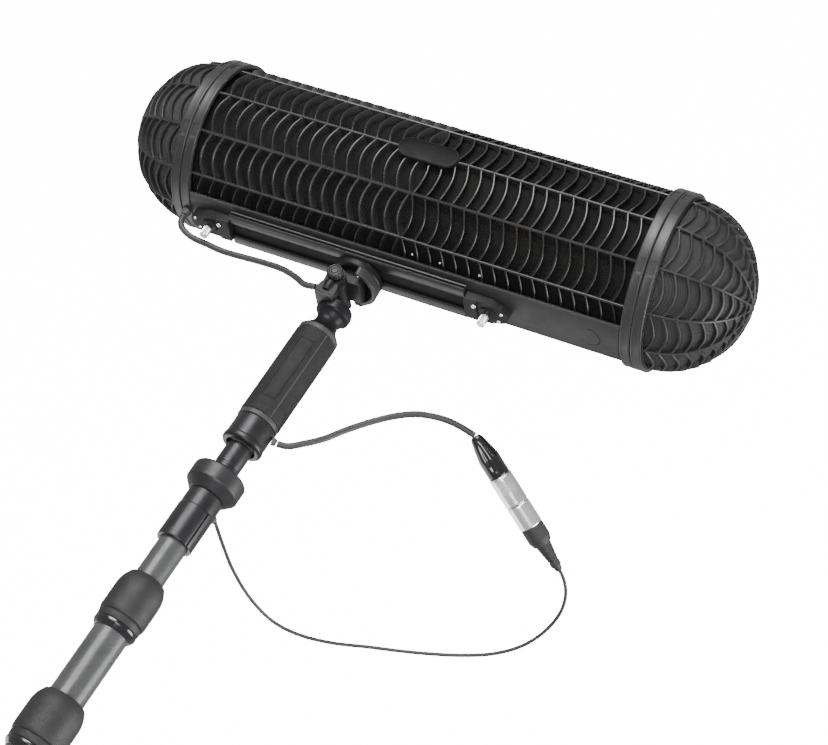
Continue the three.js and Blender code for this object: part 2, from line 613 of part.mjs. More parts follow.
const HANDLE_LEAD = [
  [20.7, 852.5, -5.4], [28, 855, -7.4], [36, 862.5, -9.5], [47, 876.5, -14], [57, 893.5, -18],
  [71, 912.5, -22], [83, 925.5, -25], [94, 934.5, -28], [105, 940.5, -32], [116, 944.5, -36.5],
  [126, 946.7, -42], [136.1, 947.8, -48.2],
];
const POLE_LEAD = [
  [226.4, 909.3, -129.4], [231, 906.5, -136], [235, 900.5, -146], [235, 890.5, -158], [228, 876.5, -171],
  [215, 861.5, -181], [196, 848.5, -188], [173, 837.5, -191.5], [149, 827.5, -192], [126, 818.5, -191],
  [102, 808.5, -187], [77, 795.5, -179], [55, 784.5, -165], [38, 778.5, -148], [24, 776, -120],
  [15, 775.5, -82], [11.5, 776.5, -48], [10, 777.5, -16],
];
const MIC_LEAD = [
  [-164.8, 1011, 0], [-164.5, 1006, -1], [-161.5, 1001.5, -2.5], [-155.5, 998.5, -4], [-147, 997, -5.5],
  [-136, 997, -6.5], [-120, 997, -8], [-103, 998.5, -8], [-84, 1000, -7], [-64, 1000, -5.5], [-48, 996, -3.5],
  [-37, 991.2, -1], [-26.9, 992.1, 0],
];

/** Strain relief standing out of a round piece of the pole. */
function sideGrommet(name, from, { y, down }) {
  const geometry = turned([
    [0, from + GAP], [GROMMET_R, from + GAP], [GROMMET_R - 1, from + GAP + GROMMET_LENGTH],
    [0, from + GAP + GROMMET_LENGTH],
  ], 12);
  piece(model, name, geometry.rotateZ(-Math.PI / 2).rotateY(down).translate(0, y, 0), rubber);
}

function leadPieces() {
  sideGrommet('handle_grommet', HANDLE_CAP_R, HANDLE_EXIT);
  sideGrommet('tip_grommet', SLEEVE_R, TIP_EXIT);
  piece(model, 'handle_lead', cord(HANDLE_LEAD, THICK_LEAD_R), jacket);
  piece(model, 'pole_lead', cord(POLE_LEAD, THIN_LEAD_R), jacket);
  piece(model, 'mic_lead', cord(MIC_LEAD, MIC_LEAD_R), jacket);

  const plugs = new THREE.Group();
  const along = PLUG_TO.clone().sub(PLUG_FROM);
  plugs.position.copy(PLUG_FROM);
  plugs.quaternion.setFromUnitVectors(new THREE.Vector3(0, 1, 0), along.clone().normalize());
  model.add(plugs);
  const shellStart = BOOT_LENGTH + GAP;
  const shellEnd = BOOT_LENGTH + SOCKET_SHELL_LENGTH;
  const plugEnd = shellEnd + PLUG_SHELL_LENGTH;
  piece(plugs, 'socket_boot', turned([
    [0, 0], [4.2, 0], [6.2, 10], [PLUG_R - 0.6, 20], [PLUG_R - 0.6, BOOT_LENGTH], [0, BOOT_LENGTH],
  ], 16), glossBlack);
  piece(plugs, 'socket_shell', turned([
    [0, shellStart], [PLUG_R, shellStart], [PLUG_R, shellEnd - 1], [PLUG_R - 1, shellEnd], [0, shellEnd],
  ], 20), nickel);
  piece(plugs, 'plug_shell', turned([
    [0, shellEnd + GAP], [PLUG_R, shellEnd + GAP], [PLUG_R, plugEnd], [0, plugEnd],
  ], 20), nickel);
  const bootEnd = along.length() - GAP;
  piece(plugs, 'plug_boot', turned([
    [0, plugEnd + GAP], [PLUG_R - 0.6, plugEnd + GAP], [PLUG_R - 0.9, plugEnd + 16],
    [PLUG_R - 3, plugEnd + 18], [3.4, bootEnd - 12], [2.6, bootEnd], [0, bootEnd],
  ], 16), rubber);
  const latchSeat = PLUG_R + GAP + LATCH_TRAVEL;
  const latch = block([latchSeat, latchSeat + 1.4], [shellStart + 4, shellStart + 14], [-3, 3]);
  piece(plugs, 'release_latch', latch, nickel);
}

// ---------------------------------------------------------------- the whole

basePieces();
twistCollar(2, baseCollarStart, BASE_TUBE_R, MIDDLE_TUBE_R);
poleTube('middle_tube', MIDDLE_TUBE_R, middleTubeEnd);
twistCollar(1, middleCollarStart, MIDDLE_TUBE_R, TOP_TUBE_R);
poleTube('top_tube', TOP_TUBE_R, topTubeEnd);
tipPieces();
handlePieces();
shoePieces();
cagePieces();
endPieces('rear', -1);
endPieces('front', 1);
railPieces();
suspensionPieces();
leadPieces();

export default model;
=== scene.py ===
import json
from math import acos, cos, pi, radians, remainder, sin, sqrt, tau

import bmesh
import bpy
from mathutils import Matrix, Vector


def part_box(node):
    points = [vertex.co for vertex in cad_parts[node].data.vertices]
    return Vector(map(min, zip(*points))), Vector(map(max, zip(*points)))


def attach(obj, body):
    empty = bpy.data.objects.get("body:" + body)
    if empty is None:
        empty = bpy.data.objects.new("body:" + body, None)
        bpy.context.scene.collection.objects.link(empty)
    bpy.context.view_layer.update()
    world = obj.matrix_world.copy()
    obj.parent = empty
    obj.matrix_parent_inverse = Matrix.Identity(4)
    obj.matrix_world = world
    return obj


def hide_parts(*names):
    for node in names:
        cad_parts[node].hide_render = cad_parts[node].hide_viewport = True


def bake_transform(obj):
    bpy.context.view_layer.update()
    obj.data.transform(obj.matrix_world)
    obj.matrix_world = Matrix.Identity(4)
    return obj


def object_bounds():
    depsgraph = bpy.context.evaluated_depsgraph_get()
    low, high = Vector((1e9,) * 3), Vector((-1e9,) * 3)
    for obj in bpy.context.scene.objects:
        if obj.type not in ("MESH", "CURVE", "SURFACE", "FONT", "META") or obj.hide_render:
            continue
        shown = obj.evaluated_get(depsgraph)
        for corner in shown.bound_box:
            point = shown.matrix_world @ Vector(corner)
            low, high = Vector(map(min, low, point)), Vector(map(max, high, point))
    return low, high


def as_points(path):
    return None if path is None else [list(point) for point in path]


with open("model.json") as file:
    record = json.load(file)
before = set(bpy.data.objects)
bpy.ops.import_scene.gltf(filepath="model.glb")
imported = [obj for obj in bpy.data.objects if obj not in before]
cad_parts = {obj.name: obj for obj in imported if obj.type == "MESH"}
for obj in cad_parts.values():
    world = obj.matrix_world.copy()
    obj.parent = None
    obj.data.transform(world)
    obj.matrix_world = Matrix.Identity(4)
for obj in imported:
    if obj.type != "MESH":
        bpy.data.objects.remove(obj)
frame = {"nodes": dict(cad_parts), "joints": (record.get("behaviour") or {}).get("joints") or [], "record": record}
cad_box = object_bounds()

# ------------------------------------------------------------------ the frame's places

BODY_OF = {node: body for body, nodes in frame["record"]["behaviour"]["bodies"].items() for node in nodes}
JOINTS = {joint["name"]: joint for joint in frame["joints"]}


def middle(node):
    """Middle of a CAD node's box."""
    low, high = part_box(node)
    return (low + high) / 2


def span(node):
    """First and last station along the pole, and the radius, of a round node on the pole's axis."""
    low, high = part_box(node)
    return low.y, high.y, (high.z - low.z) / 2


def placed(origin, x_axis, y_axis):
    """A frame with these axes, as a matrix."""
    x, y = Vector(x_axis).normalized(), Vector(y_axis).normalized()
    z = x.cross(y)
    return Matrix.Translation(origin) @ Matrix((x, y, z)).transposed().to_4x4()


BLIMP_X = Vector(JOINTS["rail_slide"]["axis"])
BLIMP_Y = Vector((-BLIMP_X.y, BLIMP_X.x, 0))
BLIMP = placed((middle("cage_rear") + middle("cage_front")) / 2, BLIMP_X, BLIMP_Y)
HINGE = placed(JOINTS["head_tilt"]["pos_m"], BLIMP_X, BLIMP_Y)
POLE = Matrix.Identity(4)
ALONG_X = Matrix.Rotation(-pi / 2, 4, "Z")    # lays a turned outline along the blimp

# Windshield, in its own frame
CAGE_R = 0.07
CAGE_HALF = 0.1887            # half the length between the end collars
COLLAR_R = 0.0735
COLLAR_STRIP = 0.0087
GAP = 0.0003
CAGE_END = CAGE_HALF + COLLAR_STRIP
DOME_FROM = CAGE_END + GAP + COLLAR_STRIP
DOME_DEPTH = 0.0643
RIBS = 12
HOOP_PITCH = 0.0111
HOOPS_EACH_WAY = 16
HOOP_BOW = 0.0048             # how far a hoop bows away from the middle between two ribs
HOOP_DEPTH = 0.0052
PANEL_R = 0.073
PANEL_HALF_ANGLE = radians(17)

# ------------------------------------------------------------------ camera

CAMERA_AT = (0.63385, 0.20241, 1.26347)
CAMERA_RIGHT = (0.87127, 0.48202, -0.09239)
CAMERA_UP = (-0.34421, 0.73431, 0.58508)
LENS_MM = 88.97


def add_camera():
    data = bpy.data.cameras.new("camera")
    data.lens = LENS_MM
    data.sensor_width = 36
    data.clip_start, data.clip_end = 0.05, 50
    camera = bpy.data.objects.new("camera", data)
    bpy.context.scene.collection.objects.link(camera)
    camera.matrix_world = placed(CAMERA_AT, CAMERA_RIGHT, CAMERA_UP)
    bpy.context.scene.camera = camera


add_camera()

# ------------------------------------------------------------------ materials


def node_maker(material):
    """Short calls that add nodes to a material and link what they are given."""
    tree = material.node_tree

    def connect(value, socket):
        if isinstance(value, bpy.types.NodeSocket):
            tree.links.new(value, socket)
        else:
            socket.default_value = value

    def calc(operation, *values):
        node = tree.nodes.new("ShaderNodeMath")
        node.operation = operation
        for value, socket in zip(values, node.inputs):
            connect(value, socket)
        return node.outputs[0]

    def mix(factor, first, second):
        node = tree.nodes.new("ShaderNodeMix")
        node.data_type = "RGBA"
        connect(factor, node.inputs[0])
        for value, socket in ((first, node.inputs[6]), (second, node.inputs[7])):
            connect(value if isinstance(value, bpy.types.NodeSocket) else (*value, 1), socket)
        return node.outputs[2]

    def noise(coordinates, scale, detail=3.0, stretch=None):
        if stretch:
            mapping = tree.nodes.new("ShaderNodeMapping")
            mapping.inputs["Scale"].default_value = stretch
            tree.links.new(coordinates, mapping.inputs[0])
            coordinates = mapping.outputs[0]
        node = tree.nodes.new("ShaderNodeTexNoise")
        node.inputs["Scale"].default_value = scale
        node.inputs["Detail"].default_value = detail
        tree.links.new(coordinates, node.inputs["Vector"])
        return node.outputs["Fac"]

    def span_to(value, low, high, new_low, new_high):
        node = tree.nodes.new("ShaderNodeMapRange")
        for given, socket in zip((value, low, high, new_low, new_high), node.inputs):
            connect(given, socket)
        return node.outputs[0]

    def bump(height, strength, distance, under=None):
        node = tree.nodes.new("ShaderNodeBump")
        node.inputs["Strength"].default_value = strength
        node.inputs["Distance"].default_value = distance
        tree.links.new(height, node.inputs["Height"])
        if under:
            tree.links.new(under, node.inputs["Normal"])
        return node.outputs[0]

    return calc, mix, noise, span_to, bump


def surface(name, dark, light, roughness, metallic=0.0, grain=900.0, relief=0.00004, edge=0.06,
            coat=0.0, pattern=None, stretch=None, sheen=0.0, patches=35.0, specular=0.36):
    """A moulded, turned or woven surface: patchy colour, rubbed edges, fine grain and an optional pattern.

    pattern(calc, coordinates, material) gives a height from 0 to 1; the colour is darkened in its low parts,
    painted shade in the grooves.
    """
    material = bpy.data.materials.new(name)
    material.use_nodes = True
    nodes, links = material.node_tree.nodes, material.node_tree.links
    shader = nodes["Principled BSDF"]
    calc, mix, noise, span_to, bump = node_maker(material)
    coordinates = nodes.new("ShaderNodeTexCoord").outputs["Object"]
    cloud = noise(coordinates, patches, 4.0)
    colour = mix(span_to(cloud, 0.3, 0.7, 0.0, 1.0), dark, light)
    worn = span_to(nodes.new("ShaderNodeNewGeometry").outputs["Pointiness"], 0.52, 0.62, 0.0, 0.7)
    rubbed = tuple(min(1.0, part + edge) for part in light)
    colour = mix(worn, colour, rubbed)
    fine = noise(coordinates, grain, 2.0, stretch)
    normal = bump(fine, 0.5, relief)
    if pattern:
        height = pattern(calc, coordinates, material)
        # Painted shade: the pattern's grooves and gaps get a darker colour.
        groove_shade = tuple(0.35 * part for part in dark)
        colour = mix(height, groove_shade, colour)
        normal = bump(height, 1.0, 4 * relief, normal)
    links.new(colour, shader.inputs["Base Color"])
    rough = span_to(noise(coordinates, 3 * patches, 5.0), 0.3, 0.7, roughness - 0.06, roughness + 0.07)
    links.new(rough, shader.inputs["Roughness"])
    links.new(normal, shader.inputs["Normal"])
    shader.inputs["Metallic"].default_value = metallic
    shader.inputs["Specular IOR Level"].default_value = specular
    shader.inputs["Coat Weight"].default_value = coat
    shader.inputs["Coat Roughness"].default_value = 0.12
    shader.inputs["Sheen Weight"].default_value = sheen
    return material


def around_pole(calc, coordinates, material):
    """Angle about the pole's axis and station along it, as node outputs."""
    split = material.node_tree.nodes.new("ShaderNodeSeparateXYZ")
    material.node_tree.links.new(coordinates, split.inputs[0])
    x, y, z = split.outputs
    return calc("ARCTAN2", z, x), y


def twill(radius, tows=56):
    """Two-by-two twill of carbon tows round a tube of this radius."""
    cell = tau * radius / tows

    def pattern(calc, coordinates, material):
        angle, station = around_pole(calc, coordinates, material)
        across = calc("MULTIPLY", angle, tows / (tau))
        along = calc("DIVIDE", station, cell)
        step = calc("ADD", calc("FLOOR", across), calc("FLOOR", along))
        over = calc("LESS_THAN", calc("FLOORED_MODULO", step, 4.0), 2.0)
        ridge_a = calc("SINE", calc("MULTIPLY", calc("FRACT", across), pi))
        ridge_b = calc("SINE", calc("MULTIPLY", calc("FRACT", along), pi))
        under = calc("MULTIPLY", calc("SUBTRACT", 1.0, over), ridge_b)
        woven = calc("ADD", calc("MULTIPLY", over, ridge_a), calc("MULTIPLY", under, 0.7))
        return calc("ADD", calc("MULTIPLY", woven, 0.5), 0.5)

    return pattern


def knurl(radius, pitch):
    """Diamond knurl round the pole's axis: two sets of helical grooves of this pitch."""
    starts = round(tau * radius / pitch)

    def pattern(calc, coordinates, material):
        angle, station = around_pole(calc, coordinates, material)
        turn = calc("MULTIPLY", angle, starts / 2)
        run = calc("MULTIPLY", station, pi / pitch)
        left = calc("ABSOLUTE", calc("SINE", calc("ADD", turn, run)))
        right = calc("ABSOLUTE", calc("SINE", calc("SUBTRACT", turn, run)))
        lowest = calc("MINIMUM", left, right)
        return calc("MINIMUM", calc("ADD", calc("MULTIPLY", lowest, 0.9), 0.45), 1.0)

    return pattern


def gauze(pitch):
    """Square weave of fine threads, in the object's own axes."""

    def pattern(calc, coordinates, material):
        split = material.node_tree.nodes.new("ShaderNodeSeparateXYZ")
        material.node_tree.links.new(coordinates, split.inputs[0])
        waves = [calc("SINE", calc("MULTIPLY", part, tau / pitch)) for part in split.outputs]
        total = calc("ADD", calc("MULTIPLY", waves[0], waves[1]), calc("MULTIPLY", waves[1], waves[2]))
        return calc("ADD", calc("MULTIPLY", total, 0.25), 0.7)

    return pattern


GRIP_R = 0.0174
SATIN = surface("satin_plastic", (0.005, 0.005, 0.006), (0.009, 0.009, 0.01), 0.52, edge=0.02, specular=0.14)
CAGE = surface("cage_plastic", (0.007, 0.007, 0.007), (0.012, 0.012, 0.012), 0.27, edge=0.01, grain=1500)
GLOSS = surface("gloss_plastic", (0.004, 0.004, 0.005), (0.008, 0.008, 0.009), 0.16, coat=0.5, relief=0.00001)
PLATE = surface("badge_plastic", (0.003, 0.003, 0.003), (0.006, 0.006, 0.006), 0.42, edge=0.03,
                relief=0.00001, specular=0.07)
METAL = surface("black_metal", (0.016, 0.016, 0.018), (0.024, 0.024, 0.026), 0.3, metallic=0.55,
                stretch=(1, 0.05, 1), relief=0.00002)
RUBBER = surface("rubber", (0.013, 0.013, 0.014), (0.021, 0.021, 0.022), 0.62, relief=0.00006)
GRIP = surface("grip_rubber", (0.009, 0.009, 0.01), (0.014, 0.014, 0.015), 0.66, relief=0.00003,
               specular=0.26,
               pattern=knurl(GRIP_R, 0.0014))
COLLAR = surface("collar_rubber", (0.01, 0.01, 0.011), (0.016, 0.016, 0.017), 0.56, relief=0.00002,
                 pattern=knurl(0.0195, 0.0018))
FOAM = surface("foam", (0.01, 0.01, 0.011), (0.022, 0.022, 0.023), 0.85, grain=420, relief=0.0004, sheen=0.1)
GAUZE = surface("gauze", (0.0015, 0.0015, 0.0015), (0.004, 0.004, 0.004), 0.85, relief=0.00004, specular=0.1,
                pattern=gauze(0.0011))
LINING = surface("lining_gauze", (0.005, 0.005, 0.0045), (0.011, 0.011, 0.01), 0.9, specular=0.15,
                 pattern=gauze(0.0011))
NICKEL = surface("nickel", (0.84, 0.84, 0.83), (0.92, 0.92, 0.91), 0.26, metallic=1.0, edge=0.05,
                 stretch=(0.15, 1, 1), relief=0.00001)
ELASTIC = surface("red_elastic", (0.16, 0.022, 0.018), (0.28, 0.045, 0.035), 0.7, grain=1800, relief=0.0001)
JACKET = surface("cable_jacket", (0.02, 0.02, 0.021), (0.03, 0.03, 0.031), 0.48, relief=0.00003)
GLOSS_GREY = surface("gloss_grey_metal", (0.013, 0.013, 0.014), (0.02, 0.02, 0.022), 0.34, metallic=0.35,
                     stretch=(1, 0.06, 1), relief=0.00001)
SATIN_GREY = surface("satin_grey_metal", (0.014, 0.014, 0.015), (0.022, 0.022, 0.024), 0.42, metallic=0.25,
                     relief=0.00002)
HEAD_BLACK = surface("head_black", (0.005, 0.005, 0.006), (0.01, 0.01, 0.011), 0.4, relief=0.00003, edge=0.03,
                     specular=0.16)
BAND_GREY = surface("band_grey", (0.024, 0.024, 0.025), (0.036, 0.036, 0.037), 0.52, relief=0.00002)
PANEL_GREY = surface("panel_grey", (0.017, 0.017, 0.018), (0.025, 0.025, 0.026), 0.46, relief=0.00002,
                     specular=0.26)
STRIP_GREY = surface("collar_strip_grey", (0.016, 0.016, 0.017), (0.025, 0.025, 0.026), 0.36, relief=0.00002)
DOME_PLASTIC = surface("dome_plastic", (0.008, 0.008, 0.008), (0.013, 0.013, 0.013), 0.44, relief=0.00002,
                       specular=0.26, edge=0.02)
RAIL_METAL = surface("rail_metal", (0.012, 0.012, 0.013), (0.018, 0.018, 0.019), 0.33, metallic=0.15,
                     stretch=(0.02, 1, 1), grain=500, relief=0.000002, edge=0.02)
# Near black: painted shade on the rail's slot floor, and the panel's dark curved mark.
SHADE_AND_MARK_BLACK = surface("shade_and_mark_black", (0.001, 0.001, 0.001), (0.002, 0.002, 0.002), 0.85, edge=0.0)


THIN_SIDE = (0, -0.58, 0.81)  # towards the camera, across the blimp
THIN_ALPHA = 0.9
THIN_FADE = 0.006


def thin_towards(material, direction, at, alpha):
    """Let light through the part of a gauze on this side of a point; the rest stays dense."""
    nodes, links = material.node_tree.nodes, material.node_tree.links
    dot = nodes.new("ShaderNodeVectorMath")
    dot.operation = "DOT_PRODUCT"
    links.new(nodes.new("ShaderNodeTexCoord").outputs["Object"], dot.inputs[0])
    dot.inputs[1].default_value = direction
    ramp = nodes.new("ShaderNodeMapRange")
    edge = Vector(direction).dot(at)
    links.new(dot.outputs["Value"], ramp.inputs[0])
    for value, socket in zip((edge - THIN_FADE, edge + THIN_FADE, 1.0, alpha), list(ramp.inputs)[1:]):
        socket.default_value = value
    links.new(ramp.outputs[0], nodes["Principled BSDF"].inputs["Alpha"])


thin_towards(LINING, THIN_SIDE, BLIMP.translation, THIN_ALPHA)

# ------------------------------------------------------------------ mesh making


def rounded(outline, radius, steps=4):
    """The outline with its corners, but not its ends, turned into arcs of at most this radius."""
    points = [Vector(point) for point in outline]
    result = [points[0]]
    for before, corner, after in zip(points, points[1:], points[2:]):
        back, ahead = before - corner, after - corner
        reach = min(radius, 0.45 * back.length, 0.45 * ahead.length)
        start, end = corner + back.normalized() * reach, corner + ahead.normalized() * reach
        for i in range(steps + 1):
            t = i / steps
            result.append(start * (1 - t) ** 2 + corner * 2 * t * (1 - t) + end * t * t)
    return [*result, points[-1]]


class Shape:
    """Collects closed bodies into one mesh object."""

    def __init__(self, name, place=POLE):
        self.name = name
        self.place = place
        self.vertices = []
        self.faces = []

    def add(self, vertices, faces):
        base = len(self.vertices)
        self.vertices += [self.place @ Vector(vertex) for vertex in vertices]
        self.faces += [[base + index for index in face] for face in faces]
        return self

    def lathe(self, outline, segments=96, round_by=0.0005, recess=None, place=None):
        """Turn a (radius, station) outline about the Y axis. recess(angle, station) cuts into it."""
        points = rounded(outline, round_by)
        if outline[0][0] > 0 and outline[-1] != outline[0]:
            points = rounded([*outline, outline[0]], round_by)
        closed = outline[0][0] > 0
        points = points[:-1] if closed else points
        place = place or Matrix.Identity(4)
        vertices, rings, faces = [], [], []
        for radius, station in points:
            if radius < 1e-7:
                rings.append([len(vertices)] * segments)
                vertices.append(place @ Vector((0, station, 0)))
                continue
            rings.append(list(range(len(vertices), len(vertices) + segments)))
            for i in range(segments):
                turn = tau * i / segments
                depth = recess(turn, station) if recess else 0.0
                reach = radius - depth
                vertices.append(place @ Vector((reach * cos(turn), station, reach * sin(turn))))
        pairs = list(zip(rings, rings[1:])) + ([(rings[-1], rings[0])] if closed else [])
        for first, second in pairs:
            for i in range(segments):
                j = (i + 1) % segments
                face = list(dict.fromkeys((first[i], first[j], second[j], second[i])))
                if len(face) > 2:
                    faces.append(face)
        return self.add(vertices, faces)

    def sweep(self, frames, section, closed=False):
        """Carry a section of (across, out) points along frames of (origin, across axis, out axis)."""
        count = len(section)
        vertices = [o + a * u + b * v for o, u, v in frames for a, b in section]
        faces = []
        loops = len(frames) if closed else len(frames) - 1
        for i in range(loops):
            here, there = i * count, ((i + 1) % len(frames)) * count
            for k in range(count):
                n = (k + 1) % count
                faces.append([here + k, here + n, there + n, there + k])
        if not closed:
            faces.append(list(range(count))[::-1])
            faces.append([(len(frames) - 1) * count + k for k in range(count)])
        return self.add(vertices, faces)

    def prism(self, outline, low, high, axes="xyz", round_by=0.0):
        """Extrude a closed outline, given in the first two of these axes, along the third."""
        loop = outline
        if round_by:
            loop = [tuple(p) for p in rounded([*outline, outline[0], outline[1]], round_by)][5:-1]
        order = ["xyz".index(axis) for axis in axes]

        def at(point, level):
            spot = [0.0, 0.0, 0.0]
            for axis, value in zip(order, (*point, level)):
                spot[axis] = value
            return spot

        count = len(loop)
        vertices = [at(point, level) for level in (low, high) for point in loop]
        sides = [[k, (k + 1) % count, count + (k + 1) % count, count + k] for k in range(count)]
        return self.add(vertices, [list(range(count))[::-1], list(range(count, 2 * count)), *sides])

    def box(self, low, high):
        x0, y0, _ = low
        x1, y1, _ = high
        return self.prism([(x0, y0), (x1, y0), (x1, y1), (x0, y1)], low[2], high[2])

    def build(self, material, body, bevel=0.0, sharp=35.0):
        mesh = bpy.data.meshes.new(self.name)
        mesh.from_pydata([tuple(vertex) for vertex in self.vertices], [], self.faces)
        mesh.materials.append(material)
        piece = bpy.data.objects.new(self.name, mesh)
        bpy.context.scene.collection.objects.link(piece)
        with_outside(mesh)
        mesh.shade_smooth()
        mesh.set_sharp_from_angle(angle=radians(sharp))
        if bevel:
            modifier = piece.modifiers.new("rounded_edges", "BEVEL")
            modifier.width = bevel
            modifier.segments = 3
            modifier.limit_method = "ANGLE"
            modifier.angle_limit = radians(40)
            modifier.harden_normals = True
        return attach(piece, body)


def with_outside(mesh):
    """Turn every face to point out of its body."""
    work = bmesh.new()
    work.from_mesh(mesh)
    bmesh.ops.recalc_face_normals(work, faces=work.faces)
    work.to_mesh(mesh)
    work.free()


def stand_for(piece, *nodes):
    """The piece is shown in place of these CAD nodes, which are hidden."""
    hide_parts(*nodes)
    return piece


def show(shape, material, node, **options):
    """Build a shape on the body of the CAD node it stands for."""
    return stand_for(shape.build(material, BODY_OF[node], **options), node)


def add_extra(shape, material, body, slot, **options):
    """Build a shape that stands for no CAD node."""
    piece = shape.build(material, body, **options)
    return piece


def turned(node, outline, material, **options):
    """A finely turned piece in place of a round CAD node on the pole's axis."""
    return show(Shape(node + "_fine").lathe(outline, **options), material, node)


def near(radius, station, *offsets):
    """Outline points given by how far they lie from one radius and station."""
    return [(radius + out, station + along) for out, along in offsets]


def sleeve(inner, outer, start, end):
    """Outline of a plain round sleeve."""
    return [(inner, start), (outer, start), (outer, end), (inner, end)]


def smooth_route(points, per_span=6):
    """Points along a centripetal spline through given points, as the CAD cords run."""
    points = [Vector(point) for point in points]
    line = [points[0] * 2 - points[1], *points, points[-1] * 2 - points[-2]]
    result = []
    for p0, p1, p2, p3 in zip(line, line[1:], line[2:], line[3:]):
        t1 = sqrt((p1 - p0).length)
        t2 = t1 + sqrt((p2 - p1).length)
        t3 = t2 + sqrt((p3 - p2).length)
        for i in range(per_span):
            t = t1 + (t2 - t1) * i / per_span
            a1 = p0 * ((t1 - t) / t1) + p1 * (t / t1)
            a2 = p1 * ((t2 - t) / (t2 - t1)) + p2 * ((t - t1) / (t2 - t1))
            a3 = p2 * ((t3 - t) / (t3 - t2)) + p3 * ((t - t2) / (t3 - t2))
            b1 = a1 * ((t2 - t) / t2) + a2 * (t / t2)
            b2 = a2 * ((t3 - t) / (t3 - t1)) + a3 * ((t - t1) / (t3 - t1))
            result.append(b1 * ((t2 - t) / (t2 - t1)) + b2 * ((t - t1) / (t2 - t1)))
    return [*result, points[-1]]


def length_of(route):
    return sum((b - a).length for a, b in zip(route, route[1:]))


def carried_frames(route):
    """Frames along a route whose section doesn't twist."""
    across = (route[1] - route[0]).orthogonal().normalized()
    frames = []
    for i, point in enumerate(route):
        ahead = (route[min(i + 1, len(route) - 1)] - route[max(i - 1, 0)]).normalized()
        across = (across - ahead * across.dot(ahead)).normalized()
        frames.append((point, across, ahead.cross(across)))
    return frames


def circle(radius, sides=20):
    turns = [tau * k / sides for k in range(sides)]
    return [(radius * cos(turn), radius * sin(turn)) for turn in turns]

# ------------------------------------------------------------------ cords

HANDLE_LEAD = [
    (0.0207, 0.8525, -0.0054), (0.028, 0.855, -0.0074), (0.036, 0.8625, -0.0095), (0.047, 0.8765, -0.014),
    (0.057, 0.8935, -0.018), (0.071, 0.9125, -0.022), (0.083, 0.9255, -0.025), (0.094, 0.9345, -0.028),
    (0.105, 0.9405, -0.032), (0.116, 0.9445, -0.0365), (0.126, 0.9467, -0.042), (0.1361, 0.9478, -0.0482),
]
POLE_LEAD = [
    (0.2264, 0.9093, -0.1294), (0.231, 0.9065, -0.136), (0.235, 0.9005, -0.146), (0.235, 0.8905, -0.158),
    (0.228, 0.8765, -0.171), (0.215, 0.8615, -0.181), (0.196, 0.8485, -0.188), (0.173, 0.8375, -0.1915),
    (0.149, 0.8275, -0.192), (0.126, 0.8185, -0.191), (0.102, 0.8085, -0.187), (0.077, 0.7955, -0.179),
    (0.055, 0.7845, -0.165), (0.038, 0.7785, -0.148), (0.024, 0.776, -0.12), (0.015, 0.7755, -0.082),
    (0.0115, 0.7765, -0.048), (0.01, 0.7775, -0.016),
]
MIC_LEAD = [
    (-0.1648, 1.011, 0), (-0.1645, 1.006, -0.001), (-0.1615, 1.0015, -0.0025), (-0.1555, 0.9985, -0.004),
    (-0.147, 0.997, -0.0055), (-0.136, 0.997, -0.0065), (-0.12, 0.997, -0.008), (-0.103, 0.9985, -0.008),
    (-0.084, 1.000, -0.007), (-0.064, 1.000, -0.0055), (-0.048, 0.996, -0.0035), (-0.037, 0.9912, -0.001),
    (-0.0269, 0.9921, 0),
]
THICK_LEAD_D = 0.0052
THIN_LEAD_D = 0.003
MIC_LEAD_D = 0.0054
INSIDE_BOOT = 0.022           # how far the thin lead runs into its plug's boot
PLUG_FROM = Vector((0.137, 0.9475, -0.049))
PLUG_TO = Vector((0.226, 0.9095, -0.129))


def cord_piece(name, points, diameter):
    route = smooth_route(points)
    shape = Shape(name).sweep(carried_frames(route), circle(diameter / 2))
    return shape, route


def add_handle_lead(with_pieces):
    shape, route = cord_piece("handle_lead_jacket", HANDLE_LEAD, THICK_LEAD_D)
    lead = stand_for(shape.build(JACKET, "top_section"), "handle_lead")
    length_of(route)
    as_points(route)


def add_pole_lead(with_pieces):
    """The thin lead from the pole's tip, which runs on into its plug's boot."""
    back = (PLUG_FROM - PLUG_TO).normalized()
    inside = [tuple(PLUG_TO + back * depth) for depth in (0.006, INSIDE_BOOT)]
    shape, route = cord_piece("pole_lead_jacket", [*POLE_LEAD[::-1], *inside], THIN_LEAD_D)
    lead = stand_for(shape.build(JACKET, "top_section"), "pole_lead")
    length_of(route)
    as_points(route)


def add_mic_lead():
    """The microphone's lead between the hinge and the windshield, which slides on its rail; it is one fixed shape
    on no body.
    """
    shape, route = cord_piece("mic_lead_jacket", MIC_LEAD, MIC_LEAD_D)
    lead = shape.build(JACKET, "shoe")
    lead.parent = None
    stand_for(lead, "mic_lead")
    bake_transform(lead)
    length_of(route)
    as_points(route)


# ------------------------------------------------------------------ pole

TUBE_WALL = 0.0016
FOAM_WALL = 0.0029
STUD_R = 0.008
DISK_BORE = 0.0083


def add_tubes():
    for node in ("base_tube", "middle_tube", "top_tube"):
        start, end, radius = span(node)
        inner = radius - TUBE_WALL
        weave = surface(node + "_carbon", (0.04, 0.041, 0.043), (0.062, 0.063, 0.065), 0.38, coat=0.2,
                        relief=0.00001, pattern=twill(radius))
        turned(node, sleeve(inner, radius, start, end), weave)


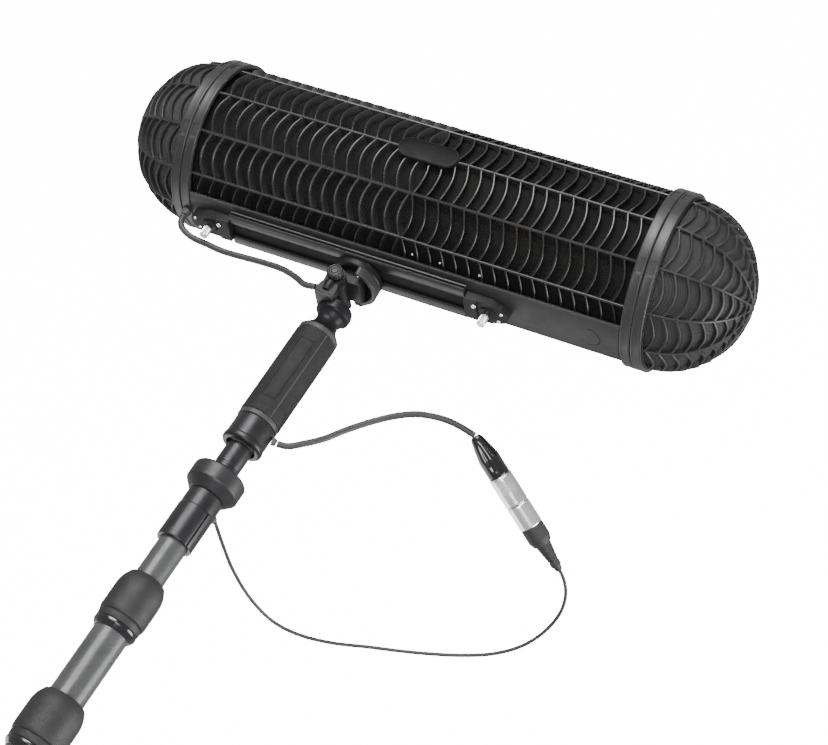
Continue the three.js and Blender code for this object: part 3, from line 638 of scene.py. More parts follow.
def add_collar(suffix):
    start, end, radius = span("lock_collar_" + suffix)
    _, _, tube_out = span({"2": "middle_tube", "1": "top_tube"}[suffix])
    _, _, tube_in = span({"2": "base_tube", "1": "middle_tube"}[suffix])
    seat, mouth = tube_in + GAP, tube_out + GAP
    shoulder = end - 0.008
    turned("lock_collar_" + suffix, [
        (seat, start), *near(radius, start, (-0.0016, 0), (-0.0012, 0.005), (-0.0018, 0.0056),
                             (-0.0006, 0.0064), (0, 0.009)),
        *near(radius, end, (0, -0.012), (-0.0012, -0.006), (-0.0042, 0)), (mouth, end), (mouth, shoulder),
        (seat, shoulder),
    ], COLLAR, round_by=0.002)
    first, last, ring = span("collar_ring_" + suffix)
    turned("collar_ring_" + suffix, [
        (seat, first), (seat + 0.0006, first), *near(ring, last, (-0.0004, -0.0028), (0, -0.0022), (0, 0)),
        (seat, last),
    ], GLOSS, round_by=0.0004)
    first, last, outside = span("collet_" + suffix)
    slots = [tau * k / 4 for k in range(4)]

    def slit(angle, station):
        gap = min(abs(remainder(angle - slot, tau)) for slot in slots)
        return 0.0006 if gap * outside < 0.0006 and station > first + 0.004 else 0.0

    bore = mouth - 0.0001
    stations = [first, first + 0.004, first + 0.0042, last]
    turned("collet_" + suffix, [(bore, first), *[(outside, s) for s in stations], (bore, last)], GLOSS,
           recess=slit, round_by=0.0001)


def add_butt():
    start, end, radius = span("foam_grip")
    bore = radius - FOAM_WALL
    turned("foam_grip", [
        (bore, start), (radius - 0.0012, start), (radius, start + 0.005), (radius, end - 0.005),
        (radius - 0.0012, end), (bore, end),
    ], FOAM, round_by=0.002)
    start, end, radius = span("end_cap")
    _, _, socket_r = span("cable_socket")
    _, _, tube_r = span("base_tube")
    floor = span("base_tube")[0] - GAP
    ribs = []
    for k in range(5):
        at = start + 0.01 + 0.004 * k
        ribs += [*near(radius, at, (0, 0), (-0.0006, 0.0006), (-0.0006, 0.0014), (0, 0.002))]
    turned("end_cap", [
        (socket_r + GAP, start), (radius - 0.002, start), (radius, start + 0.002), *ribs, (radius, end),
        (tube_r + GAP, end), (tube_r + GAP, floor), (socket_r + GAP, floor),
    ], SATIN, round_by=0.0004)
    paint("cable_socket", GLOSS)


def paint(node, material):
    """Give a CAD node whose shape is right its finished material."""
    slots = frame["nodes"][node].data.materials
    slots.clear()
    slots.append(material)


SLIT_ANGLE = radians(28)   # clamping slit of the tip sleeve, towards the camera's right
SLIT_LENGTH = 0.03


def add_tip():
    start, end, radius = span("tip_sleeve")
    _, _, tube_r = span("top_tube")

    def slit(angle, station):
        across = abs(remainder(angle - SLIT_ANGLE, tau)) * radius
        if station > start + SLIT_LENGTH:
            return 0.0
        return 0.0012 if across < 0.0009 else 0.0

    bore = tube_r + GAP
    step = start + SLIT_LENGTH
    turned("tip_sleeve", [
        (bore, start), (radius - 0.0003, start), (radius, start + 0.0008),
        *near(radius, step, (0, -0.0001), (-0.0001, 0.0001), (-0.0004, 0.0008)), (radius - 0.0004, end),
        (bore, end),
    ], GLOSS_GREY, segments=240, round_by=0.0003, recess=slit)

    start, end, radius = span("lock_disk")
    turned("lock_disk", [
        (DISK_BORE, start),
        *near(radius, start, (-0.007, 0), (-0.0062, 0.0005), (-0.0006, 0.0068), (0, 0.0078)),
        *near(radius, end, (0, -0.0016), (-0.0012, 0), (-0.0044, 0), (-0.0052, -0.0012)),
        (DISK_BORE, end - 0.0012),
    ], SATIN_GREY, round_by=0.0003)
    start, end, radius = span("tip_stud")
    _, disk_end, _ = span("lock_disk")
    turned("tip_stud", [
        (0, start), (STUD_R, start), (STUD_R, disk_end + GAP),
        *near(radius, disk_end, (0, GAP), (0, 0.006), (-0.0003, 0.0064), (-0.0003, 0.008), (0, 0.0084)),
        (radius, end), (0, end),
    ], GLOSS_GREY, round_by=0.0003)


# ------------------------------------------------------------------ handle

PANEL_ANGLE = radians(80.3)      # middle of the plain debossed rectangle round the grip
CORE_R = 0.012
GRIP_PANEL_HALF_WIDTH = 0.0062
GRIP_PANEL_HALF_LENGTH = 0.03
GRIP_PANEL_FROM_END = 0.0466          # its middle behind the grip's front end
GROOVE = 0.0009
GROOVE_DEPTH = 0.0005


def add_handle():
    start, end, radius = span("handle_cap")
    neck = span("tip_stud")[2]
    turned("handle_cap", [
        (0, start + 0.004), (neck + 0.0018, start + 0.004), (neck + 0.0018, start),
        *near(radius, start, (-0.0016, 0), (0, 0.0016), (0, 0.0048), (-0.0007, 0.0056)),
        (radius - 0.0007, end), (0, end),
    ], GLOSS_GREY, round_by=0.0006)
    for node in ("grip_band_rear", "grip_band_front"):
        start, end, radius = span(node)
        turned(node, sleeve(CORE_R + GAP, radius, start, end), BAND_GREY, round_by=0.0006)
    add_grip_rubber()


def add_grip_rubber():
    """The grip's rubber, with the outline of a plain rectangle pressed into it."""
    start, end, radius = span("grip_rubber")
    panel_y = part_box("grip_band_front")[1].y - GRIP_PANEL_FROM_END

    def inside(across, along, shrink):
        return across < GRIP_PANEL_HALF_WIDTH - shrink and along < GRIP_PANEL_HALF_LENGTH - shrink

    def panel(angle, station):
        across = abs(remainder(angle - PANEL_ANGLE, tau)) * radius
        along = abs(station - panel_y)
        if inside(across, along, 0) and not inside(across, along, GROOVE):
            return GROOVE_DEPTH
        return 0.0

    rows = []
    for side in (-1, 1):
        edge = panel_y + side * GRIP_PANEL_HALF_LENGTH
        for off in (0.00002, -0.00002, -GROOVE + 0.00002, -GROOVE - 0.00002):
            rows.append(edge + side * off)
    rows += [panel_y + 0.0058 * k for k in range(-4, 5)]
    outline = [(CORE_R + GAP, start), (radius - 0.0004, start), (radius, start + 0.0012)]
    outline += [(radius, row) for row in sorted(rows)]
    outline += [(radius, end - 0.0012), (radius - 0.0004, end), (CORE_R + GAP, end)]
    turned("grip_rubber", outline, GRIP, segments=540, round_by=0.000005, recess=panel)


def half_ring(radius, start, end, steps=24):
    """Points of an arc round the origin, from one angle to another."""
    turns = [start + (end - start) * k / steps for k in range(steps + 1)]
    return [(radius * cos(turn), radius * sin(turn)) for turn in turns]


EAR_R = 0.008
TONGUE_HALF = 0.0117
EAR_THICKNESS = 0.008
FLANGE_FROM_HINGE = 0.015
FLANGE_LENGTH = 0.01
NUT_R = 0.0062


def along_z(place=POLE):
    """A frame whose Y axis is the hinge's Z axis."""
    return place @ Matrix.Rotation(pi / 2, 4, "X")


def add_fork():
    """Neck, flange and fork ears of the handle's core, with the hinge's bolt and knob."""
    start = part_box("handle_core")[0].y
    grip_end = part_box("grip_band_front")[1].y
    hinge = Vector(JOINTS["head_tilt"]["pos_m"])
    flange_end = hinge.y - FLANGE_FROM_HINGE
    flange = flange_end - FLANGE_LENGTH
    shape = Shape("handle_core_fine")
    shape.lathe([
        (0, start), (CORE_R, start), (CORE_R, grip_end + GAP), (0.0164, grip_end + GAP),
        (0.015, grip_end + 0.0022),
        (0.0112, grip_end + 0.0065), (0.0098, grip_end + 0.011), (0.0098, flange - 0.006),
        (0.0118, flange - 0.002),
        (0.0145, flange + 0.0005), (0.0145, flange + 0.0062), (0.0136, flange + 0.0066),
        (0.0136, flange_end - 0.001), (0.0124, flange_end), (0, flange_end),
    ], round_by=0.0008)
    inside = TONGUE_HALF + GAP
    outside = inside + EAR_THICKNESS
    for side in (-1, 1):
        low, high = sorted((side * inside, side * outside))
        eye = half_ring(EAR_R, 0, pi)
        foot = flange_end - 0.004 - hinge.y
        ear = [(-EAR_R, foot), (EAR_R, foot), (EAR_R, 0.6 * foot), (EAR_R - 0.0014, 0.4 * foot), *eye[1:-1],
               (-EAR_R + 0.0014, 0.4 * foot), (-EAR_R, 0.6 * foot)]
        outline = [(hinge.x + x, hinge.y + y) for x, y in ear]
        shape.prism(outline, low, high)
    root = 0.0076
    deep = outside - 0.0005
    shape.box((hinge.x - root, flange_end - 0.006, -deep), (hinge.x + root, flange_end + 0.001, deep))
    cheek = Matrix.Translation((hinge.x, 0, outside - 0.0012))
    shape.lathe([(0, flange_end - 0.001), (0.0036, flange_end - 0.001), (0.0046, hinge.y - 0.0078),
                 (0.004, hinge.y - 0.007), (0, hinge.y - 0.007)], 48, place=cheek)
    show(shape, HEAD_BLACK, "handle_core", bevel=0.0006)

    nut = Shape("hinge_bolt_fine")
    place = along_z(Matrix.Translation(hinge))
    nut.lathe([(0, -outside - 0.0013), (0.003, -outside - 0.0013), (0.003, outside + GAP),
               (0, outside + GAP)], 48,
              place=place)
    hexagon = [(NUT_R * cos(k * pi / 3), NUT_R * sin(k * pi / 3)) for k in range(6)]
    nut.prism([(hinge.x + x, hinge.y + y) for x, y in hexagon], -outside - 0.0043, -outside - 0.0003)
    show(nut, NICKEL, "hinge_bolt", bevel=0.0004)

    low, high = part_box("tilt_knob")
    radius = (high.x - low.x) / 2
    base, top = low.z, high.z
    flutes = 10

    def flute(angle, station):
        return 0.0005 * max(0.0, cos(flutes * angle)) if station < top - 0.0012 else 0.0

    knob = Shape("tilt_knob_fine")
    knob.lathe([
        (0, base), (radius - 0.0006, base), (radius, base + 0.0004),
        *near(radius, top, (0, -0.0014), (-0.001, 0), (-0.0019, 0), (-0.0023, -0.0008)),
        (0.003, top - 0.0008), (0.0026, top - 0.0001), (0, top - 0.0001),
    ], 80, recess=flute, round_by=0.0004, place=along_z(Matrix.Translation((hinge.x, hinge.y, 0))))
    show(knob, SATIN_GREY, "tilt_knob")


# ------------------------------------------------------------------ tilting head

SHOE_R = 0.0215
SHOE_FROM, SHOE_TO = 0.014, 0.022
SHOE_X = 0.008
HOOD_DEPTH = 0.0075
HOOD_WALL = 0.004
HOOD_REACH = 0.0074           # the hood's ends lie this far in front of the shoe's centre


def add_shoe():
    centre = Matrix.Translation((SHOE_X, 0, 0))
    shape = Shape("shoe_fine", HINGE)
    shape.lathe([
        (0, SHOE_FROM), *near(SHOE_R, SHOE_FROM, (-0.004, 0), (-0.003, -0.001), (-0.0006, 0), (0, 0.001)),
        *near(SHOE_R, SHOE_TO, (0, -0.003), (-0.0012, -0.001), (-0.0026, 0)), (0, SHOE_TO),
    ], 128, place=centre)
    knuckle = [(0, -TONGUE_HALF), (EAR_R, -TONGUE_HALF), (EAR_R, -TONGUE_HALF + 0.003),
               (EAR_R - 0.001, -TONGUE_HALF + 0.0036),
               *near(EAR_R, TONGUE_HALF, (-0.001, -0.0036), (0, -0.003), (0, 0)), (0, TONGUE_HALF)]
    shape.lathe(knuckle, 64, place=along_z())
    shape.box((-0.007, 0.002, -TONGUE_HALF), (0.018, SHOE_FROM + 0.002, TONGUE_HALF))
    show(shape, HEAD_BLACK, "shoe", bevel=0.0007)
    # Hood: a wall with rounded ends round the front half of the plate, hanging towards the handle
    edge = acos(HOOD_REACH / SHOE_R)
    outer, inner = SHOE_R, SHOE_R - HOOD_WALL
    middle_r, cap_r = (outer + inner) / 2, (outer - inner) / 2
    wall = half_ring(outer, -edge, edge, 40)
    centre_x, centre_z = middle_r * cos(edge), middle_r * sin(edge)
    end_cap = [(centre_x + x, centre_z + z) for x, z in half_ring(cap_r, edge, edge + pi, 10)]
    wall += end_cap[1:-1] + half_ring(inner, edge, -edge, 40)
    wall += [(x, -z) for x, z in end_cap[1:-1][::-1]]
    hood = Shape("shoe_hood", HINGE)
    hood.prism([(SHOE_X + x, z) for x, z in wall], SHOE_FROM - HOOD_DEPTH, SHOE_FROM + 0.0005, axes="xzy")
    add_extra(hood, SATIN_GREY, "shoe", "satin_black", bevel=0.0009)
    add_head_screws()

    paint("rail_nut", METAL)
    low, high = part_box("clamp_knob")
    at = (low + high) / 2
    half, radius = (high.z - low.z) / 2, (high.x - low.x) / 2

    def flute(angle, station):
        return 0.0007 * max(0.0, cos(8 * angle))

    knob = Shape("clamp_knob_fine")
    knob.lathe([(0, -half), (radius - 0.0015, -half), (radius, -half + 0.002), (radius, half - 0.002),
                (radius - 0.0015, half), (0, half)], 96, recess=flute, place=along_z(Matrix.Translation(at)))
    show(knob, SATIN, "clamp_knob")


def add_head_screws():
    """Small bright screw heads on the shoe's hood and plate."""
    screws = Shape("shoe_screws", HINGE)
    for x, y, z in ((SHOE_X + 0.007, 0.0075, 0.0165), (SHOE_X + 0.0015, 0.007, 0.0)):
        place = Matrix.Translation((x, y, z))
        screws.lathe([(0, -0.0012), (0.0013, -0.0012), (0.0016, -0.0004), (0.0016, 0.0006), (0, 0.0006)], 32,
                     round_by=0.0003, place=place)
    add_extra(screws, NICKEL, "shoe", "nickel")


# ------------------------------------------------------------------ windshield cage

def on_cage(turn, station, radius):
    """A point round the blimp's X axis: turn 0 is towards the rail (-Y'), a quarter turn towards +Z'."""
    return Vector((station, -radius * cos(turn), radius * sin(turn)))


def outwards(turn):
    return Vector((0, -cos(turn), sin(turn)))


def blade_frames(route, outs):
    """Frames of (origin, across, out) along a route, given each point's outward direction."""
    frames = []
    for i, (point, out) in enumerate(zip(route, outs)):
        ahead = route[min(i + 1, len(route) - 1)] - route[max(i - 1, 0)]
        frames.append((point, ahead.cross(out).normalized(), out))
    return frames


def blade_section(half_outer, half_inner, depth, nose=0.0005, slant=0.0):
    """Blade section with a rounded outer nose; its inner edge is set off sideways by the slant."""
    return [(slant - half_inner, -depth), (slant + half_inner, -depth), (half_outer, -nose),
            (half_outer * 0.5, 0), (-half_outer * 0.5, 0), (-half_outer, -nose)]


RIB_TURN = tau / RIBS
HOOP_SLANT = 0.0022             # a hoop's inner edge lies this much nearer to the seam than its outer edge
RIB_SECTION = blade_section(0.0011, 0.0009, 0.0034)
HOOP_STEPS = 10
END_RING_HALF = 0.0028


def add_cage(name, side):
    """One half of the cage; its hoops bow away from the seam in the middle."""
    lattice = Shape(name + "_lattice", BLIMP)
    seam = side * GAP / 2
    section = blade_section(0.0008, 0.0007, HOOP_DEPTH, slant=-side * HOOP_SLANT)
    for window in range(RIBS):
        turn = window * RIB_TURN
        out = outwards(turn)
        route = [on_cage(turn, station, CAGE_R) for station in sorted((seam, side * CAGE_END))]
        lattice.sweep(blade_frames(route, [out, out]), RIB_SECTION)
        for number in range(HOOPS_EACH_WAY + 1):
            route, outs = [], []
            for i in range(HOOP_STEPS + 1):
                t = i / HOOP_STEPS
                turn = (window + t) * RIB_TURN
                station = number * HOOP_PITCH + 0.0011 + HOOP_BOW * sin(pi * t)
                if station < CAGE_HALF + 0.004:
                    route.append(on_cage(turn, side * station, CAGE_R - 0.0004))
                    outs.append(outwards(turn))
            if len(route) > 2:
                lattice.sweep(blade_frames(route, outs), section)
    end_at = side * (CAGE_END - 0.003)
    lattice.lathe(sleeve(CAGE_R - 0.004, CAGE_R, end_at - END_RING_HALF, end_at + END_RING_HALF), 120,
                  place=ALONG_X)
    show(lattice, CAGE, name)


def add_lining():
    """Fine gauze stretched round the inside of the cage's hoops."""
    radius = CAGE_R - HOOP_DEPTH - 0.0007
    sides, half = 96, CAGE_END - 0.001
    shape = Shape("gauze_lining", BLIMP)
    vertices = [on_cage(tau * k / sides, station, radius) for station in (-half, half) for k in range(sides)]
    faces = [[k, (k + 1) % sides, sides + (k + 1) % sides, sides + k] for k in range(sides)]
    shape.add(vertices, faces)
    lining = shape.build(LINING, "blimp")


def arc_strip(outer, inner, half_angle, middle_angle, start, end, steps=24):
    """A strip curved round the blimp's axis, as a closed body."""
    vertices = []
    for station in (start, end):
        for radius in (outer, inner):
            for i in range(steps + 1):
                turn = middle_angle - half_angle + 2 * half_angle * i / steps
                vertices.append(on_cage(turn, station, radius))
    row = steps + 1
    faces = []
    for i in range(steps):
        for first, second in ((0, 2), (1, 3), (0, 1), (2, 3)):
            faces.append([first * row + i, first * row + i + 1, second * row + i + 1, second * row + i])
    for i in (0, steps):
        faces.append([i, row + i, 3 * row + i, 2 * row + i])
    return vertices, faces


TONGUE_AT, TONGUE_R = 0.164, 0.0095
PANEL_RIB = radians(0.7)
STUD_STATIONS = (0.012, 0.036, 0.07)


def add_base_panel():
    """Smooth panel under the cage, with a rib along each edge and a dark curved mark near its front."""
    panel = Shape("base_panel_fine", BLIMP)
    half = CAGE_HALF - GAP
    panel.add(*arc_strip(PANEL_R - 0.0004, CAGE_R + GAP, PANEL_HALF_ANGLE, 0.0, -half, half))
    for side in (-1, 1):
        panel.add(*arc_strip(PANEL_R, CAGE_R + GAP, PANEL_RIB, side * (PANEL_HALF_ANGLE - PANEL_RIB), -half,
                             half, 2))
    route, outs = [], []
    for station, across in half_ring(TONGUE_R, radians(-95), radians(95)):
        turn = across / PANEL_R
        route.append(on_cage(turn, TONGUE_AT + station, PANEL_R - 0.0003))
        outs.append(outwards(turn))
    show(panel, PANEL_GREY, "base_panel", bevel=0.0004)
    mark = Shape("panel_tongue_mark", BLIMP)
    mark.sweep(blade_frames(route, outs), blade_section(0.0004, 0.0004, 0.0008, 0.0001))
    add_extra(mark, SHADE_AND_MARK_BLACK, "blimp", "satin_black")
    studs = Shape("panel_studs", BLIMP)
    for station in STUD_STATIONS:
        turn = PANEL_HALF_ANGLE + radians(3.4)
        place = Matrix.Translation(on_cage(turn, station, CAGE_R - 0.0012)) @ Matrix.Rotation(-turn, 4, "X")
        studs.lathe([(0, -0.0014), (0.0009, -0.0012), (0.0012, 0), (0, 0)], 24, round_by=0.0003, place=place)
    add_extra(studs, NICKEL, "blimp", "nickel")


BADGE_HALF_LENGTH = 0.0255
BADGE_HALF_HEIGHT = 0.00975


def add_badge():
    """Blank stadium-shaped plate on the cage's upper side, with a raised rim."""
    outer_end = BADGE_HALF_LENGTH - BADGE_HALF_HEIGHT

    def stadium(shrink, count=20):
        radius = BADGE_HALF_HEIGHT - shrink
        right = [(outer_end + x, y) for x, y in half_ring(radius, -pi / 2, pi / 2, count)]
        left = [(-outer_end + x, y) for x, y in half_ring(radius, pi / 2, 3 * pi / 2, count)]
        return right + left

    def raised(loop, radius):
        return [on_cage(pi / 2 + y / radius, x, radius) for x, y in loop]

    levels = [(0.0, CAGE_R + GAP), (0.0, 0.0722), (0.0005, 0.0726), (0.0011, 0.0726), (0.0014, 0.0721)]
    loops = [raised(stadium(shrink), radius) for shrink, radius in levels]
    count = len(loops[0])
    vertices = [point for loop in loops for point in loop]
    faces = [[a * count + k, a * count + (k + 1) % count, (a + 1) * count + (k + 1) % count,
              (a + 1) * count + k]
             for a in range(len(loops) - 1) for k in range(count)]
    # Ends are closed by strips across the stadium, so that they follow the cage's curve
    half = count // 2
    for base, turned_over in ((0, False), ((len(loops) - 1) * count, True)):
        for k in range(half - 1):
            face = [base + k, base + k + 1, base + count - 2 - k, base + count - 1 - k]
            faces.append(face[::-1] if turned_over else face)
    badge = Shape("badge_plate_fine", BLIMP).add(vertices, faces)
    show(badge, PLATE, "badge_plate")


# ------------------------------------------------------------------ collars and domes

COVER_TURN = radians(118)        # middle of the plain part of each collar, round from the rail
COVER_HALF_ANGLE = radians(34)
NOTCH_TURNS = [radians(degrees) for degrees in (32, 62, 212, 242, 302)]
NOTCH_HALF = radians(4.5)


def end_place(side):
    """Frame at one end of the blimp: Y runs outwards along the blimp, and X points to the rail."""
    return BLIMP @ placed((0, 0, 0), (0, -1, 0), (side, 0, 0))


def turn_at_end(angle, side):
    """The turn from the rail, as on_cage() counts it, of a lathe angle in the end's frame."""
    return angle if side < 0 else -angle


def add_collars(name, side):
    place = end_place(side)

    def relief(low_at, high_at):
        def recess(angle, station):
            turn = turn_at_end(angle, side)
            if abs(remainder(turn - COVER_TURN, tau)) < COVER_HALF_ANGLE:
                return 0.0
            apart = min(abs(remainder(turn - notch, tau)) for notch in NOTCH_TURNS)
            if apart < NOTCH_HALF and low_at < station < high_at:
                return 0.0014
            return 0.0006
        return recess

    bore = CAGE_R + GAP
    for node, start in ((name + "_collar", CAGE_HALF), (name + "_lock_ring", CAGE_END + GAP)):
        end = start + COLLAR_STRIP
        outline = [(bore, start), *near(COLLAR_R, start, (-0.0006, 0), (0, 0.0008), (0, 0.0018),
                                        (-0.0001, 0.0019)), *near(COLLAR_R, end, (-0.0001, -0.0019),
                                        (0, -0.0018), (0, -0.0008), (-0.0006, 0)), (bore, end)]
        shape = Shape(node + "_fine").lathe(outline, 360, place=place, round_by=0.0003,
                                            recess=relief(start + 0.0018, end - 0.0018))
        show(shape, STRIP_GREY, node)


DOME_RINGS = 9
WEB_DEPTH = 0.003
DOME_R = CAGE_R - GAP


def on_dome(turn, lean, proud):
    """Point on the dome: lean 0 at its rim, a quarter turn at its tip; proud is the height above its skin."""
    flat, deep = cos(lean), sin(lean)
    radius = DOME_R * flat
    out = Vector((DOME_R * deep, -DOME_DEPTH * flat * cos(turn), DOME_DEPTH * flat * sin(turn))).normalized()
    return on_cage(turn, DOME_FROM + DOME_DEPTH * deep, radius) + out * proud, out


def add_dome(name, side):
    body = BODY_OF[name + "_dome"]
    place = BLIMP @ Matrix.Diagonal((side, 1, 1, 1))
    lattice = Shape(name + "_dome_ribs", place)
    for rib in range(RIBS):
        turn = rib * RIB_TURN
        spots = [on_dome(turn, lean, 0.0) for lean in [radians(-4 + 90 * i / 28) for i in range(29)]]
        route, outs = [spot[0] for spot in spots], [spot[1] for spot in spots]
        lattice.sweep(blade_frames(route, outs), blade_section(0.001, 0.0011, WEB_DEPTH + 0.0008))
    for ring in range(DOME_RINGS):
        lean_at = radians(2 + 9.1 * ring)
        bow = radians(5.2) * cos(lean_at) ** 0.5
        for window in range(RIBS):
            spots = [on_dome((window + i / 10) * RIB_TURN, lean_at + bow * sin(pi * i / 10), -0.0004)
                     for i in range(11)]
            lattice.sweep(blade_frames([s[0] for s in spots], [s[1] for s in spots]),
                          blade_section(0.0009, 0.0008, WEB_DEPTH))
    tip = DOME_FROM + DOME_DEPTH
    lattice.lathe([(0, tip - 0.004), (0.0072, tip - 0.004), (0.0072, tip - 0.0008), (0.005, tip - 0.0001),
                   (0.0042, tip - 0.0008), (0, tip - 0.0008)], 48, place=ALONG_X)
    lattice.lathe(sleeve(DOME_R - 0.003, DOME_R, CAGE_END + GAP, DOME_FROM + 0.0008), 120, place=ALONG_X)
    show(lattice, DOME_PLASTIC, name + "_dome")

    skin = Shape(name + "_dome_gauze", place)
    inner = DOME_R - WEB_DEPTH + 0.0002
    depth = DOME_DEPTH - WEB_DEPTH + 0.0002
    outline = [(inner * cos(lean), DOME_FROM - 0.004 + (depth + 0.004) * sin(lean))
               for lean in [pi / 2 * i / 30 for i in range(30)]] + [(0, DOME_FROM + depth)]
    inside = [(radius * 0.988, station - 0.0007) for radius, station in outline[::-1]]
    skin.lathe([*inside, *outline], 96, round_by=0.0, place=ALONG_X)
    add_extra(skin, GAUZE, body, "dome_mesh")


# ------------------------------------------------------------------ rail

RAIL_FROM, RAIL_TO = -0.148, 0.062
RAIL_BOTTOM, RAIL_TOP = -0.079, -0.0733
RAIL_HALF_WIDTH = 0.018
SLOT_HALF = 0.0075
UNDERCUT_HALF = 0.011
LIP = 0.0025
BLOCK_LENGTH = 0.028
BLOCK_HALF_WIDTH = 0.012
BLOCK_NOSE_R = 0.009
BLOCK_BOTTOM = -0.0815
SADDLE = 0.011
THUMB_HEAD = 0.011


def add_rail():
    """Grooved rail: a T-slot with rolled lips, and a fine groove along each side."""
    web = RAIL_TOP - 0.0012
    undercut = RAIL_BOTTOM + LIP
    crown = [(0.0126 + 0.005 * cos(turn), RAIL_BOTTOM + 0.0015 - 0.0015 * sin(turn))
             for turn in [pi * (1 - k / 16) for k in range(17)]]
    right = [
        *crown, (RAIL_HALF_WIDTH, RAIL_BOTTOM + 0.0018), (RAIL_HALF_WIDTH, RAIL_BOTTOM + 0.0022),
        (0.0142, RAIL_BOTTOM + 0.0024), (0.0142, RAIL_BOTTOM + 0.0044),
        (RAIL_HALF_WIDTH, RAIL_BOTTOM + 0.0046), (RAIL_HALF_WIDTH, RAIL_TOP),
    ]
    left = [(-z, y) for z, y in right[::-1]]
    inside = [(-SLOT_HALF, undercut - 0.0001), (-SLOT_HALF - 0.0001, undercut), (-UNDERCUT_HALF, undercut),
              (-UNDERCUT_HALF, web), (UNDERCUT_HALF, web), (UNDERCUT_HALF, undercut),
              (SLOT_HALF + 0.0001, undercut), (SLOT_HALF, undercut - 0.0001)]
    shape = Shape("rail_fine", BLIMP)
    shape.prism([*right, *left, *inside], RAIL_FROM, RAIL_TO, axes="zyx")
    show(shape, RAIL_METAL, "rail", bevel=0.0002)
    # Painted shade: a near-black strip on the slot's floor darkens the inside of the slot.
    floor = Shape("rail_slot_shade_strip", BLIMP)
    floor.box((RAIL_FROM + 0.0005, web - 0.0006, -UNDERCUT_HALF + 0.0002), (RAIL_TO - 0.0005, web - 0.0001,
                                                                          UNDERCUT_HALF - 0.0002))
    add_extra(floor, SHADE_AND_MARK_BLACK, "blimp", "black_metal")


def add_rail_blocks():
    for name, side, edge in (("rear", -1, RAIL_FROM), ("front", 1, RAIL_TO)):
        inner = edge + side * GAP
        outer = inner + side * BLOCK_LENGTH
        block = Shape(f"rail_block_{name}_fine", BLIMP)
        neck = outer - side * 0.006
        outline = [(inner, -BLOCK_HALF_WIDTH), (neck, -BLOCK_HALF_WIDTH), (outer, -BLOCK_NOSE_R)]
        outline += [(outer + side * x, z) for x, z in half_ring(BLOCK_NOSE_R, -pi / 2, pi / 2)][1:-1]
        outline += [(outer, BLOCK_NOSE_R), (neck, BLOCK_HALF_WIDTH), (inner, BLOCK_HALF_WIDTH)]
        block.prism(outline, BLOCK_BOTTOM + 0.0012, RAIL_TOP, axes="xzy")
        # Raised saddle across the block, and a boss on its nose
        far = inner + side * SADDLE
        saddle = [(inner, -BLOCK_HALF_WIDTH), (far, -BLOCK_HALF_WIDTH), (far, BLOCK_HALF_WIDTH),
                  (inner, BLOCK_HALF_WIDTH)]
        block.prism(saddle, BLOCK_BOTTOM, BLOCK_BOTTOM + 0.002, axes="xzy")
        block.lathe([(0, BLOCK_BOTTOM), (0.0062, BLOCK_BOTTOM), (0.007, BLOCK_BOTTOM + 0.0008),
                     (0.007, BLOCK_BOTTOM + 0.0022), (0, BLOCK_BOTTOM + 0.0022)], 64,
                    place=Matrix.Translation((outer - side * BLOCK_NOSE_R, 0, 0)))
        show(block, SATIN, "rail_block_" + name, bevel=0.0006)

        # Knurled thumb screw under the block
        at = outer - side * BLOCK_NOSE_R
        head, top = BLOCK_BOTTOM - GAP - THUMB_HEAD, BLOCK_BOTTOM - GAP
        screw = Shape(f"thumb_screw_{name}_fine", BLIMP)
        flutes = 22

        def knurled(angle, station):
            return 0.00022 * (1 + cos(flutes * angle)) if head + 0.0011 < station < top - 0.003 else 0.0

        screw.lathe([
            (0, head + 0.001), (0.0018, head + 0.001), (0.002, head), (0.0028, head), (0.0036, head + 0.001),
            (0.0036, head + 0.0014), (0.0036, top - 0.0032), (0.0036, top - 0.0026), (0.0022, top - 0.002),
            (0.0022, top), (0, top),
        ], 176, round_by=0.0003, recess=knurled, place=Matrix.Translation((at, 0, 0)))
        show(screw, NICKEL, "thumb_screw_" + name)

        # Dome-headed screws on the block, one of them the CAD's own
        place = Matrix.Translation((outer - side * 0.019, 0, 0.0062))
        dome_head = [(0, top - 0.0015), (0.0012, top - 0.0014), (0.0021, top - 0.0007), (0.0022, top),
                     (0, top)]
        own = Shape(f"block_screw_{name}_fine", BLIMP).lathe(dome_head, 40, round_by=0.0004, place=place)
        show(own, NICKEL, "block_screw_" + name)
        others = Shape(f"block_screws_{name}", BLIMP)
        for x, z in ((outer + side * 0.004, 0.0046), (outer + side * 0.001, -0.0052)):
            others.lathe([(r * 0.7, y) for r, y in dome_head], 32, round_by=0.0003,
                         place=Matrix.Translation((x, 0.0012 + 0.0002, z)))
        add_extra(others, NICKEL, "blimp", "nickel")


# ------------------------------------------------------------------ microphone and suspension


MIC_R = 0.0105
MIC_LENGTH = 0.292
SUSPENSION_R = 0.048
SUSPENSION_IN = 0.044
SUSPENSION_HALF = 0.0035
SUSPENSION_AT = 0.075         # each ring's distance from the blimp's middle
CUFF_IN, CUFF_R, CUFF_HALF = 0.0108, 0.0128, 0.005    # elastic cuff round the microphone
STRAND_R = 0.0016
STRAND_FROM, STRAND_TO = 0.0118, 0.0437
INNER_RAIL_HALF_WIDTH, INNER_RAIL_HALF_LENGTH = 0.009, 0.165


